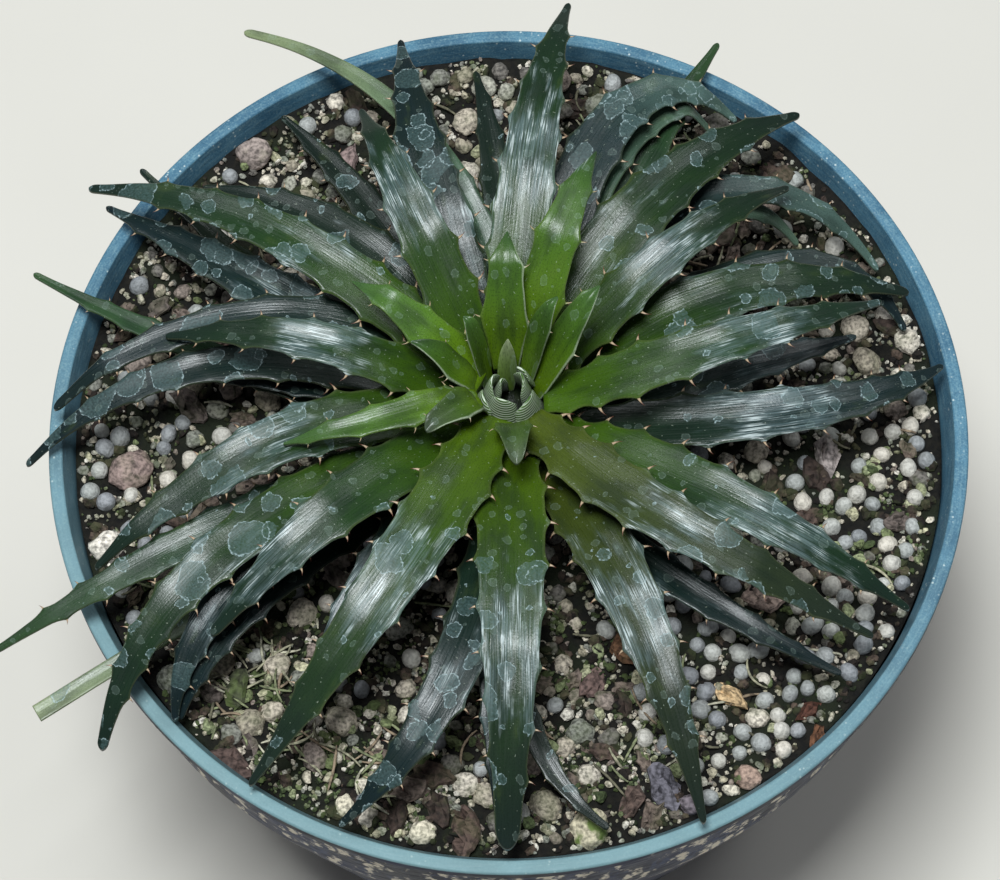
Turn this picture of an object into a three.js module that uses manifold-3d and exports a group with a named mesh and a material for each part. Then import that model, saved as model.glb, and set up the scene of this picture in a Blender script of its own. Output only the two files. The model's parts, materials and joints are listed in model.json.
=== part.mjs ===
// Dyckia bromeliad growing in a round plastic nursery pot.
// Millimetres, +Z up, origin at the centre of the pot's underside.
import * as THREE from 'three';
import { mergeVertices } from 'three/addons/utils/BufferGeometryUtils.js';
import Module from 'manifold-3d';

// ---------------------------------------------------------------- pot
const RIM_RADIUS = 77.5;
const POT_HEIGHT = 108;
const RIM_FLAT = 2.4; // width of the flat top of the rim
const LIP_DEPTH = 2.6; // height of the overhanging lip
const LIP_OVERHANG = 1.4;
const BAND_DEPTH = 25; // the wall is nearly upright down to here
const BAND_DRAFT = 2.0; // how far the wall draws in over that band
const BASE_RADIUS = 55;
const WALL = 1.8;
const FLOOR = 3.2;
const POT_SIDES = 64;
const PAD_RADIUS = 18; // solid pad in the middle of the base
const FOOT_WIDTH = 8; // standing ring round the edge of the base
const BASE_RECESS = 1.2; // the base is hollowed this deep between pad and foot
const DRAIN_COUNT = 5;
const DRAIN_RADIUS = 4.5;

// ---------------------------------------------------------------- soil
const SOIL_DEPTH = 6; // soil surface below the rim
const GAP = 0.3; // clearance between neighbouring solids
const GRAIN_COUNT = 110;
const GRAIN_SMALL = 1.5; // radii of the grains of the top dressing
const GRAIN_LARGE = 3.4;
const GRAIN_TOP = 1.9; // how far a grain may stand out of the soil
const GRAINS_FROM = 19.5; // the grains lie between these distances from the axis
const GRAINS_TO = 69;
const GRAIN_FLATNESS = 0.7; // height of a grain over its length
const SOIL_RINGS = 7;
const SOIL_WAVE = 0.5; // every other ring of the surface lies this much lower
const SOIL_SIDES = 48;

// ---------------------------------------------------------------- plant
const CAUDEX_RADIUS = 15; // the stout stem, where it comes out of the soil
const CAUDEX_HEIGHT = 16; // above the soil
const CROWN_RADIUS = 3.5; // the stem's top
const ROOT_DEPTH = 18; // length of stem set in the soil
const ROOT_RADIUS = 9;
const STEM_SIDES = 16;
const OLDEST_START = CAUDEX_RADIUS; // distance from the axis at which the oldest leaf is rooted
const YOUNGEST_START = 4.6;
const LEAF_GAP = 0.35; // least height between one leaf and the next above it
const KEEL_ROOT = 1.4; // thickness of a leaf along its middle
const KEEL = 2.0;
const KEEL_TIP = 0.9;
const EDGE = 0.8; // thickness of a leaf at its margins
const CHANNEL = 0.24; // rise of the margins over the middle, per half width
const ROOT_WIDTH = 0.62; // width at the root, as a share of the full width
const SHOULDER = 0.22; // where along the leaf it starts to narrow
const TAPER = 1.85; // above 1 the leaf stays broad for longer
const TIP_HALF_WIDTH = 0.12;
const FULL_KEEL_WIDTH = 8; // a leaf narrower than this is thinner too
const STEEPEST = 2.2; // limit on how much a climbing leaf is thickened upward to keep its thickness across
const TOOTH_PITCH = 11.5;
const TOOTH_LENGTH = 2.1;
const TOOTH_BASE = 2.2;
const TOOTH_HOOK = 0.7; // how far the point of a tooth leans to the leaf's tip
const TEETH_FROM = 0.1; // the teeth stand between these shares of the leaf's length
const TEETH_TO = 0.94;
const TOOTH_STAGGER = 0.22; // shift of one margin's teeth against the other's, per pitch
const TOOTH_FALL = 0.45; // loss of tooth length from root to tip
const FULL_TOOTH_WIDTH = 7; // a leaf narrower than this has shorter teeth

// Each leaf, from the oldest to the youngest: direction in which it leaves the stem and direction in which
// its tip lies (degrees round the stem, 0 along +X), reach from the stem's axis, height of its middle and of
// its tip above the rim, full width, and curl: how much of its sideways turn it keeps for its tip.
const LEAVES = [
  [152, 142, 80, 4, 2.5, 4.4, 0],
  [64, 62, 81, 5, 4, 7.2, 0],
  [116, 123, 71, 3, 2, 7.2, 0],
  [172, 160, 86, 4, 2.5, 5.2, 0],
  [215, 213, 92, 4, 2.5, 5.0, 0],
  [266, 282, 72, 3, 1, 4.6, 0.5],
  [88, 94, 68, 4, 2, 6.8, 0],
  [51, 34, 61, 10, -1, 5.8, 0.8],
  [166, 171, 50, 5, 1, 5.8, 0],
  [215, 223, 74, 8, 0, 7.6, 0.5],
  [71, 57, 66, 9, 2, 5.8, 0.9],
  [305, 320, 70, 5, 1, 6.2, 0],
  [118, 139, 69, 8, 3, 8.4, 0],
  [36, 14, 70, 7, 0, 6.6, 0.8],
  [87, 121, 88, 11, 4, 5.2, 0],
  [6, 14, 61, 7, 3, 7.6, 0],
  [230, 236, 62, 8, 1, 8.2, 0],
  [265, 268, 71, 8, 0, 7.0, 0],
  [152, 149, 80, 8, 4, 9.2, 0],
  [203, 205, 93, 10, 3, 7.4, 0],
  [211, 223, 75, 11, 0, 7.6, 0.6],
  [75, 54, 69, 13, 4, 9.2, 1.0],
  [161, 184, 81, 11, 1, 6.8, 0.2],
  [140, 178, 76, 13, 2, 7.6, 0],
  [58, 24, 70, 12, 0, 7.0, 0.7],
  [266, 248, 75, 14, 2, 8.8, 0.4],
  [352, 367, 74, 10, 3, 8.8, 0.4],
  [31, 18, 72, 16, 4, 9.8, 0],
  [112, 104, 73, 17, 8, 10.0, 0],
  [206, 220, 87, 16, 1, 8.4, 0.4],
  [60, 47, 75, 18, 8, 11.0, 0],
  [301, 293, 77, 17, 4, 10.0, 0],
  [138, 149, 83, 19, 8, 8.8, 0],
  [187, 202, 73, 18, 4, 9.6, 0],
  [38, 38, 61, 23, 14, 7.6, 0],
  [86, 81, 75, 24, 14, 9.6, 0],
  [326, 331, 74, 19, 6, 9.4, 0],
  [220, 220, 63, 22, 12, 9.6, 0],
  [170, 168, 58, 23, 12, 7.6, 0],
  [271, 269, 75, 22, 5, 10.2, 0],
  [122, 115, 57, 26, 18, 8.6, 0],
  [0, 15, 65, 23, 12, 8.2, 0],
  [305, 326, 71, 21, 4, 9.2, 0],
  [248, 236, 76, 23, 3, 10.6, 0],
  [206, 196, 38, 22, 19, 5.4, 0],
  [68, 68, 41, 29, 27, 7.4, 0],
  [152, 147, 30, 25, 24, 6.4, 0],
  [92, 89, 22, 27, 30, 6.8, 0],
];

// The innermost leaves, which clasp each other and the top of the stem, in the same terms.
const HEART_LEAVES = [
  [24, 37, 19, 26, 31, 6.2, 0],
  [168, 166, 16, 23, 27, 5.4, 0],
  [216, 219, 17, 22, 24, 5.0, 0],
  [50, 50, 13, 26, 30, 4.8, 0],
  [275, 274, 18, 24, 27, 5.0, 0],
  [134, 134, 10, 25, 29, 4.8, 0],
];
const HEART_START = 1.2; // distance from the axis at which these leaves are rooted
const BUD_LEAVES = 5; // upright leaves round the growing point
const BUD_DIRECTION = 20;
const BUD_TWIST = 12;
const BUD_REACH = 5.2;
const BUD_MIDDLE = 20;
const BUD_TIP = 21.5;
const BUD_WIDTH = 4.2;

// ---------------------------------------------------------------- how the leaves lie over one another
const LIFT_STEPS = 40; // places along a leaf at which its lift is held
const LIFT_SLOPE = 0.5; // steepest change of a lift, per millimetre of leaf
const LIFT_PASSES = 12;
const SMOOTH_PASSES = 8; // the first passes, in which the lift is smoothed too
const MAP_HALF = 100; // the height map reaches this far from the axis
const MAP_CELL = 0.4;
const MAP_SIZE = Math.round((2 * MAP_HALF) / MAP_CELL);

const SOIL_TOP = POT_HEIGHT - SOIL_DEPTH;

const wasm = await Module();
wasm.setup();

// ---------------------------------------------------------------- helpers
function seededRandom(seed) {
  let state = seed >>> 0;
  return () => {
    state = (state + 0x6d2b79f5) >>> 0;
    let mixed = Math.imul(state ^ (state >>> 15), 1 | state);
    mixed = (mixed + Math.imul(mixed ^ (mixed >>> 7), 61 | mixed)) ^ mixed;
    return ((mixed ^ (mixed >>> 14)) >>> 0) / 4294967296;
  };
}

function closedSolid(geometry) {
  const bare = geometry.clone();
  bare.deleteAttribute('normal');
  bare.deleteAttribute('uv');
  const merged = mergeVertices(bare, 1e-4);
  return new wasm.Manifold(new wasm.Mesh({
    numProp: 3,
    vertProperties: new Float32Array(merged.attributes.position.array),
    triVerts: new Uint32Array(merged.index.array),
  }));
}

function geometryOf(solid) {
  const mesh = solid.getMesh();
  const geometry = new THREE.BufferGeometry();
  geometry.setAttribute('position', new THREE.BufferAttribute(new Float32Array(mesh.vertProperties), 3));
  geometry.setIndex(new THREE.BufferAttribute(new Uint32Array(mesh.triVerts), 1));
  return geometry;
}

// Fused pieces can shut in a hollow between them. Only the outer skin is kept, so the hollow is filled.
function outerSkin(geometry) {
  const index = geometry.index.array;
  const group = Array.from({ length: geometry.attributes.position.count }, (_, i) => i);
  const rootOf = (vertex) => {
    let root = vertex;
    while (group[root] !== root) root = group[root];
    return root;
  };
  for (let i = 0; i < index.length; i += 3) {
    group[rootOf(index[i + 1])] = rootOf(index[i]);
    group[rootOf(index[i + 2])] = rootOf(index[i]);
  }
  const faces = new Map();
  for (let i = 0; i < index.length; i += 3) {
    const root = rootOf(index[i]);
    if (!faces.has(root)) faces.set(root, []);
    faces.get(root).push(index[i], index[i + 1], index[i + 2]);
  }
  const largest = [...faces.values()].sort((a, b) => b.length - a.length)[0];
  geometry.setIndex(largest);
  return geometry;
}

function meshGeometry(points, faces) {
  const geometry = new THREE.BufferGeometry();
  geometry.setAttribute('position', new THREE.Float32BufferAttribute(points.flat(), 3));
  geometry.setIndex(faces.flat());
  return geometry;
}

function turned(profile, sides) {
  const geometry = new THREE.LatheGeometry(profile.map(([r, z]) => new THREE.Vector2(r, z)), sides);
  return geometry.rotateX(Math.PI / 2);
}

// ---------------------------------------------------------------- leaf shape
const rad = THREE.MathUtils.degToRad;

// Height of the tapering stem at a distance from its axis.
function caudexHeight(radius) {
  const inward = (CAUDEX_RADIUS - radius) / (CAUDEX_RADIUS - CROWN_RADIUS);
  return SOIL_TOP + CAUDEX_HEIGHT * THREE.MathUtils.clamp(inward, 0, 1);
}

function makeLeaf([from, to, reach, middle, tip, width, curl], start) {
  const rootHeight = caudexHeight(start) + KEEL_ROOT + GAP;
  const tipHeight = POT_HEIGHT + tip;
  // control height of the parabola through root, middle and tip
  const control = 2 * (POT_HEIGHT + middle) - (rootHeight + tipHeight) / 2;
  return {
    from, to, reach, width, curl, start, rootHeight, tipHeight, control,
    lift: new Float64Array(LIFT_STEPS + 1),
  };
}

function liftAt(leaf, s) {
  const place = THREE.MathUtils.clamp(s, 0, 1) * LIFT_STEPS;
  const low = Math.min(Math.floor(place), LIFT_STEPS - 1);
  return THREE.MathUtils.lerp(leaf.lift[low], leaf.lift[low + 1], place - low);
}

function heightAt(leaf, s) {
  const t = 1 - s;
  const arch = t * t * leaf.rootHeight + 2 * s * t * leaf.control + s * s * leaf.tipHeight;
  return arch + liftAt(leaf, s);
}

function slopeFactor(leaf, s) {
  const climb = 2 * (1 - s) * (leaf.control - leaf.rootHeight) + 2 * s * (leaf.tipHeight - leaf.control);
  return Math.min(Math.hypot(1, climb / (leaf.reach - leaf.start)), STEEPEST);
}

function planPoint(leaf, s) {
  const outward = s + leaf.curl * s * (1 - s);
  const turn = Math.max(s, 0) ** (1 + leaf.curl);
  const radius = leaf.start + (leaf.reach - leaf.start) * outward;
  const angle = rad(leaf.from + (leaf.to - leaf.from) * turn);
  return new THREE.Vector2(radius * Math.cos(angle), radius * Math.sin(angle));
}

function planDirection(leaf, s) {
  const step = 0.01;
  return planPoint(leaf, s + step).sub(planPoint(leaf, s - step)).normalize();
}

function halfWidth(leaf, s) {
  const widening = ROOT_WIDTH + (1 - ROOT_WIDTH) * Math.min(s / SHOULDER, 1);
  const along = Math.max((s - SHOULDER) / (1 - SHOULDER), 0);
  return (leaf.width / 2) * widening * (1 - along ** TAPER) + TIP_HALF_WIDTH;
}

// One place on the blade: across is -1 at the left margin, 0 in the middle, 1 at the right margin.
function bladePoint(leaf, s, across) {
  const half = halfWidth(leaf, s);
  const heading = planDirection(leaf, s);
  const plan = planPoint(leaf, s);
  const side = Math.abs(across);
  const filled = THREE.MathUtils.lerp(KEEL_ROOT, KEEL, Math.min(s / SHOULDER, 1));
  const keel = THREE.MathUtils.lerp(filled, KEEL_TIP, s) * Math.min(leaf.width / FULL_KEEL_WIDTH, 1);
  const thick = THREE.MathUtils.lerp(Math.max(keel, EDGE), EDGE, side) * slopeFactor(leaf, s);
  const height = heightAt(leaf, s) + CHANNEL * half * side;
  return {
    x: plan.x + heading.y * half * across,
    y: plan.y - heading.x * half * across,
    top: height + thick / 2,
    bottom: height - thick / 2,
    s,
  };
}

function toothPlaces(leaf) {
  const length = leaf.reach - leaf.start;
  const count = Math.max(Math.round(length / TOOTH_PITCH), 1);
  const half = TOOTH_BASE / 2 / length;
  return Array.from({ length: count }, (_, i) => {
    const s = THREE.MathUtils.lerp(TEETH_FROM, TEETH_TO, (i + 0.5) / count);
    return { s, half };
  });
}

// Rings of points from root to tip. A tooth stands on the stretch between two close rings, and the rings
// are skewed so that the teeth of the two margins alternate.
function bladeRings(leaf) {
  const teeth = toothPlaces(leaf);
  const skew = ((TEETH_TO - TEETH_FROM) / teeth.length) * TOOTH_STAGGER;
  const stops = [{ s: 0, skew: 0, tooth: false }];
  for (const { s, half } of teeth) {
    stops.push({ s: s - half, skew, tooth: true });
    stops.push({ s: s + half, skew, tooth: false });
  }
  return stops.map((stop) => ({
    tooth: stop.tooth,
    points: [-1, 0, 1].map((across) => bladePoint(leaf, stop.s + stop.skew * across, across)),
  }));
}

function toothPoint(leaf, first, second, across) {
  const s = (first.s + second.s) / 2;
  const heading = planDirection(leaf, s);
  const length = TOOTH_LENGTH * Math.min(leaf.width / FULL_TOOTH_WIDTH, 1) * (1 - TOOTH_FALL * s);
  const middle = (first.top + first.bottom + second.top + second.bottom) / 4;
  return {
    x: (first.x + second.x) / 2 + heading.y * length * across + heading.x * TOOTH_HOOK,
    y: (first.y + second.y) / 2 - heading.x * length * across + heading.y * TOOTH_HOOK,
    top: middle,
    bottom: middle,
    s,
  };
}

// The blade as plan triangles, each corner with its top and bottom height, and its teeth as single points.
function bladeSkin(leaf) {
  const rings = bladeRings(leaf);
  const end = bladePoint(leaf, 1, 0);
  end.top = end.bottom = (end.top + end.bottom) / 2;
  const triangles = [];
  const teeth = [];
  for (let i = 0; i + 1 < rings.length; i += 1) {
    const [l0, c0, r0] = rings[i].points;
    const [l1, c1, r1] = rings[i + 1].points;
    triangles.push([l0, c0, c1], [l0, c1, l1], [c0, r0, r1], [c0, r1, c1]);
    if (rings[i].tooth) {
      teeth.push({ first: l0, second: l1, point: toothPoint(leaf, l0, l1, -1), left: true });
      teeth.push({ first: r0, second: r1, point: toothPoint(leaf, r0, r1, 1), left: false });
    }
  }
  const [l, c, r] = rings[rings.length - 1].points;
  triangles.push([l, c, end], [c, r, end]);
  return { rings, triangles, teeth, end };
}

function bladeGeometry(leaf) {
  const { rings, triangles, teeth, end } = bladeSkin(leaf);
  const points = [];
  const faces = [];
  const keys = new Map();
  const place = (corner, z) => {
    const key = `${corner.x.toFixed(5)},${corner.y.toFixed(5)},${z.toFixed(5)}`;
    if (!keys.has(key)) {
      keys.set(key, points.length);
      points.push([corner.x, corner.y, z]);
    }
    return keys.get(key);
  };
  const topOf = (corner) => place(corner, corner.top);
  const bottomOf = (corner) => place(corner, corner.bottom);
  for (const [a, b, c] of triangles) {
    faces.push([topOf(a), topOf(b), topOf(c)]);
    faces.push([bottomOf(a), bottomOf(c), bottomOf(b)]);
  }
  // root end
  const [l, c, r] = rings[0].points;
  faces.push([topOf(l), bottomOf(c), topOf(c)], [topOf(l), bottomOf(l), bottomOf(c)]);
  faces.push([topOf(c), bottomOf(r), topOf(r)], [topOf(c), bottomOf(c), bottomOf(r)]);
  // margins
  for (let i = 0; i < rings.length; i += 1) {
    const next = i + 1 < rings.length ? rings[i + 1].points : [end, end, end];
    for (const [index, left] of [[0, true], [2, false]]) {
      const first = rings[i].points[index];
      const second = next[index];
      const tooth = teeth.find((one) => one.first === first);
      const loop = [topOf(first), topOf(second), bottomOf(second), bottomOf(first)];
      const side = loop.filter((vertex, n) => vertex !== loop[(n + 1) % loop.length]);
      if (!left) side.reverse();
      const hub = tooth ? topOf(tooth.point) : side[0];
      for (let n = 0; n < side.length; n += 1) {
        const face = [hub, side[n], side[(n + 1) % side.length]];
        if (new Set(face).size === 3) faces.push(face);
      }
    }
  }
  return meshGeometry(points, faces);
}

// ---------------------------------------------------------------- laying the leaves over one another
function cellOf(x, y) {
  const column = THREE.MathUtils.clamp(Math.floor((x + MAP_HALF) / MAP_CELL), 1, MAP_SIZE - 2);
  const row = THREE.MathUtils.clamp(Math.floor((y + MAP_HALF) / MAP_CELL), 1, MAP_SIZE - 2);
  return row * MAP_SIZE + column;
}

// Height of what a leaf may rest on: the stem, then the dressed soil, then the rim of the pot, then nothing.
function restHeight(radius) {
  if (radius < CAUDEX_RADIUS) return caudexHeight(radius);
  if (radius < RIM_RADIUS - RIM_FLAT - 1) return SOIL_TOP + GRAIN_TOP;
  return radius < RIM_RADIUS + 1 ? POT_HEIGHT : 0;
}

function bareGround() {
  const ground = new Float64Array(MAP_SIZE * MAP_SIZE);
  for (let row = 0; row < MAP_SIZE; row += 1) {
    for (let column = 0; column < MAP_SIZE; column += 1) {
      const x = (column + 0.5) * MAP_CELL - MAP_HALF;
      const y = (row + 0.5) * MAP_CELL - MAP_HALF;
      ground[row * MAP_SIZE + column] = restHeight(Math.hypot(x, y));
    }
  }
  return ground;
}

function highestNear(ground, cell) {
  let high = 0;
  for (let row = -1; row <= 1; row += 1) {
    for (let column = -1; column <= 1; column += 1) {
      high = Math.max(high, ground[cell + row * MAP_SIZE + column]);
    }
  }
  return high;
}

function eachSample(leaf, visit) {
  const { triangles, teeth } = bladeSkin(leaf);
  const all = triangles.concat(teeth.map((tooth) => [tooth.first, tooth.second, tooth.point]));
  for (const [a, b, c] of all) {
    const longest = Math.max(
      Math.hypot(a.x - b.x, a.y - b.y),
      Math.hypot(b.x - c.x, b.y - c.y),
      Math.hypot(c.x - a.x, c.y - a.y),
    );
    const steps = Math.ceil(longest / (MAP_CELL * 0.8)) + 1;
    for (let i = 0; i <= steps; i += 1) {
      for (let j = 0; i + j <= steps; j += 1) {
        const u = i / steps;
        const v = j / steps;
        const w = 1 - u - v;
        const mix = (key) => a[key] * w + b[key] * u + c[key] * v;
        visit(cellOf(mix('x'), mix('y')), mix('top'), mix('bottom'), mix('s'));
      }
    }
  }
}

function liftNeeded(leaf, ground) {
  const need = new Float64Array(LIFT_STEPS + 1);
  eachSample(leaf, (cell, top, bottom, s) => {
    const short = highestNear(ground, cell) + LEAF_GAP - bottom;
    if (short <= 0) return;
    const step = Math.round(THREE.MathUtils.clamp(s, 0, 1) * LIFT_STEPS);
    for (const near of [step - 1, step, step + 1]) {
      if (near >= 0 && near <= LIFT_STEPS) need[near] = Math.max(need[near], short);
    }
  });
  return need;
}

function spreadLift(leaf, need) {
  const pitch = ((leaf.reach - leaf.start) / LIFT_STEPS) * LIFT_SLOPE;
  const wanted = leaf.lift.map((lift, i) => lift + need[i]);
  return wanted.map((_, i) => {
    let high = 0;
    for (let j = 0; j <= LIFT_STEPS; j += 1) high = Math.max(high, wanted[j] - pitch * Math.abs(i - j));
    return high;
  });
}

function smoothed(values) {
  return values.map((value, i) => {
    const before = values[Math.max(i - 1, 0)];
    const after = values[Math.min(i + 1, values.length - 1)];
    return (before + 2 * value + after) / 4;
  });
}

// A younger leaf is bent up wherever it would touch what lies beneath it.
function settle(leaf, ground) {
  for (let pass = 0; pass < LIFT_PASSES; pass += 1) {
    const need = liftNeeded(leaf, ground);
    if (Math.max(...need) < 0.01) break;
    leaf.lift = spreadLift(leaf, need);
    if (pass < SMOOTH_PASSES) leaf.lift = smoothed(smoothed(leaf.lift));
  }
}

function layOver(leaf, ground) {
  eachSample(leaf, (cell, top) => {
    ground[cell] = Math.max(ground[cell], top);
  });
}

function layLeaves() {
  const ground = bareGround();
  const count = LEAVES.length;
  const leaves = LEAVES.map((row, i) => {
    const start = THREE.MathUtils.lerp(OLDEST_START, YOUNGEST_START, i / (count - 1));
    return makeLeaf(row, start);
  });
  for (const leaf of leaves) {
    settle(leaf, ground);
    layOver(leaf, ground);
  }
  return { leaves, ground };
}

// ---------------------------------------------------------------- heart: stem and the leaves that clasp it
function budRow(index) {
  const direction = BUD_DIRECTION + (360 / BUD_LEAVES) * index;
  return [direction, direction + BUD_TWIST, BUD_REACH, BUD_MIDDLE, BUD_TIP, BUD_WIDTH, 0];
}

function heartSolid(ground, stemTop) {
  const profile = [
    [0, SOIL_TOP - ROOT_DEPTH],
    [ROOT_RADIUS, SOIL_TOP - ROOT_DEPTH],
    [CAUDEX_RADIUS - GAP, SOIL_TOP - GAP],
    [CROWN_RADIUS, SOIL_TOP + CAUDEX_HEIGHT - GAP],
    [CROWN_RADIUS, stemTop],
    [0, stemTop],
  ];
  let solid = closedSolid(turned(profile, STEM_SIDES));
  const rows = HEART_LEAVES.concat(Array.from({ length: BUD_LEAVES }, (_, i) => budRow(i)));
  for (const row of rows) {
    const leaf = makeLeaf(row, HEART_START);
    leaf.rootHeight = stemTop - HEART_START;
    settle(leaf, ground);
    solid = solid.add(closedSolid(bladeGeometry(leaf)));
  }
  return solid;
}

// ---------------------------------------------------------------- pot and soil
function outerRadius(depth) {
  const band = RIM_RADIUS - LIP_OVERHANG;
  if (depth < BAND_DEPTH) return band - (BAND_DRAFT * depth) / BAND_DEPTH;
  const along = (depth - BAND_DEPTH) / (POT_HEIGHT - BAND_DEPTH);
  return THREE.MathUtils.lerp(band - BAND_DRAFT, BASE_RADIUS, along);
}

function innerRadius(depth) {
  return outerRadius(depth) - WALL;
}

function potGeometry() {
  const lip = POT_HEIGHT - LIP_DEPTH;
  const band = POT_HEIGHT - BAND_DEPTH;
  const foot = BASE_RADIUS - FOOT_WIDTH;
  const profile = [
    [0, 0],
    [PAD_RADIUS, 0],
    [PAD_RADIUS + 1, BASE_RECESS],
    [foot - 1, BASE_RECESS],
    [foot, 0],
    [BASE_RADIUS - 1, 0],
    [BASE_RADIUS, 1],
    [outerRadius(BAND_DEPTH), band],
    [outerRadius(LIP_DEPTH), lip],
    [RIM_RADIUS - 0.3, lip],
    [RIM_RADIUS, lip + 0.4],
    [RIM_RADIUS, POT_HEIGHT - 0.4],
    [RIM_RADIUS - 0.4, POT_HEIGHT],
    [RIM_RADIUS - RIM_FLAT, POT_HEIGHT],
    [innerRadius(LIP_DEPTH), lip],
    [innerRadius(BAND_DEPTH), band],
    [innerRadius(POT_HEIGHT - FLOOR), FLOOR],
    [0, FLOOR],
  ];
  let solid = closedSolid(turned(profile, POT_SIDES));
  for (let i = 0; i < DRAIN_COUNT; i += 1) {
    const angle = (2 * Math.PI * i) / DRAIN_COUNT;
    const distance = (PAD_RADIUS + BASE_RADIUS - FOOT_WIDTH) / 2;
    const drill = new THREE.CylinderGeometry(DRAIN_RADIUS, DRAIN_RADIUS, 4 * FLOOR, 16);
    drill.rotateX(Math.PI / 2);
    drill.translate(distance * Math.cos(angle), distance * Math.sin(angle), 0);
    solid = solid.subtract(closedSolid(drill));
  }
  return geometryOf(solid);
}

// A grain of the top dressing, half sunk in the soil. Small ones are the most common.
function grainGeometry(random) {
  const size = THREE.MathUtils.lerp(GRAIN_SMALL, GRAIN_LARGE, random() ** 2);
  const distance = Math.sqrt(THREE.MathUtils.lerp(GRAINS_FROM ** 2, GRAINS_TO ** 2, random()));
  const angle = 2 * Math.PI * random();
  const grain = new THREE.OctahedronGeometry(size, 0);
  grain.rotateX(Math.PI * random());
  grain.rotateY(Math.PI * random());
  grain.scale(1, THREE.MathUtils.lerp(0.8, 1.1, random()), GRAIN_FLATNESS);
  const rise = Math.min(GRAIN_TOP - GRAIN_FLATNESS * size, 0);
  grain.translate(distance * Math.cos(angle), distance * Math.sin(angle), SOIL_TOP + rise);
  return grain;
}

function soilGeometry() {
  const surface = innerRadius(SOIL_DEPTH) - GAP;
  const floor = FLOOR + GAP;
  const depths = [SOIL_DEPTH, BAND_DEPTH, POT_HEIGHT - floor];
  const side = depths.map((depth) => [innerRadius(depth) - GAP, POT_HEIGHT - depth]);
  const profile = [[0, floor], ...side.reverse()];
  for (let ring = SOIL_RINGS - 1; ring > 0; ring -= 1) {
    const radius = THREE.MathUtils.lerp(CAUDEX_RADIUS, surface, ring / SOIL_RINGS);
    profile.push([radius, SOIL_TOP - SOIL_WAVE * (ring % 2)]);
  }
  profile.push(
    [CAUDEX_RADIUS + GAP, SOIL_TOP],
    [ROOT_RADIUS + GAP, SOIL_TOP - ROOT_DEPTH - GAP],
    [0, SOIL_TOP - ROOT_DEPTH - GAP],
  );
  let solid = closedSolid(turned(profile, SOIL_SIDES));
  const random = seededRandom(7);
  for (let i = 0; i < GRAIN_COUNT; i += 1) solid = solid.add(closedSolid(grainGeometry(random)));
  return outerSkin(geometryOf(solid));
}

// ---------------------------------------------------------------- assembly
function piece(name, geometry, color, roughness) {
  const shaded = geometry.index ? geometry.toNonIndexed() : geometry;
  shaded.computeVertexNormals();
  const material = new THREE.MeshStandardMaterial({ color, roughness, metalness: 0 });
  const mesh = new THREE.Mesh(shaded, material);
  mesh.name = name;
  return mesh;
}

const plantAndPot = new THREE.Group();
plantAndPot.add(piece('pot', potGeometry(), 0x5f93a3, 0.55));
plantAndPot.add(piece('soil', soilGeometry(), 0x4a4136, 0.95));

const { leaves, ground } = layLeaves();
const oldGreen = new THREE.Color(0x2b4038);
const youngGreen = new THREE.Color(0x55752a);
leaves.forEach((leaf, i) => {
  const name = `leaf_${String(i + 1).padStart(2, '0')}`;
  const color = oldGreen.clone().lerp(youngGreen, (i / (leaves.length - 1)) ** 2);
  plantAndPot.add(piece(name, bladeGeometry(leaf), color, 0.45));
});

const stemTop = Math.max(...leaves.slice(-4).map((leaf) => heightAt(leaf, 0))) + 1;
plantAndPot.add(piece('heart', outerSkin(geometryOf(heartSolid(ground, stemTop))), 0x8aa33c, 0.4));

export default plantAndPot;
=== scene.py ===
"""Looks of a dyckia bromeliad in its nursery pot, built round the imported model.

It adds the fine leaves, the top dressing, the pot's surface, every finish and the studio. Sizes are in
millimetres and become metres where a mesh is made.
"""
import json
import math

import bmesh
import bpy
import numpy as np
from mathutils import Euler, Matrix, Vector, noise
from mathutils.bvhtree import BVHTree


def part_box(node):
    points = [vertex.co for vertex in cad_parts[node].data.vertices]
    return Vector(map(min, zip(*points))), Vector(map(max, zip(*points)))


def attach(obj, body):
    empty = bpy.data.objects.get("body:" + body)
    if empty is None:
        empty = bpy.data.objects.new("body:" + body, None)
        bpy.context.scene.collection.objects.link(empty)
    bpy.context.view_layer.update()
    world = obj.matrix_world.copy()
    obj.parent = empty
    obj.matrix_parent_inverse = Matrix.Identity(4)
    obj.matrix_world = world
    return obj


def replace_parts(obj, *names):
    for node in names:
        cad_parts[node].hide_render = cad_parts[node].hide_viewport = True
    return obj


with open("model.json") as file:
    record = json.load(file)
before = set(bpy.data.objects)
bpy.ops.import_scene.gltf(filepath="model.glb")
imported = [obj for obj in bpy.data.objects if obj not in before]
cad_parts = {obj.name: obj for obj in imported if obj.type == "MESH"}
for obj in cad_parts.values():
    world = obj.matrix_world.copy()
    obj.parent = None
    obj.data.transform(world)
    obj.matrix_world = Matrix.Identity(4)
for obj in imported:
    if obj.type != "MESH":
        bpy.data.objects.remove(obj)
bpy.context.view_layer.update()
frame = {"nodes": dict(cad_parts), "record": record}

MM = 0.001
FULL_TURN = 2 * math.pi

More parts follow.
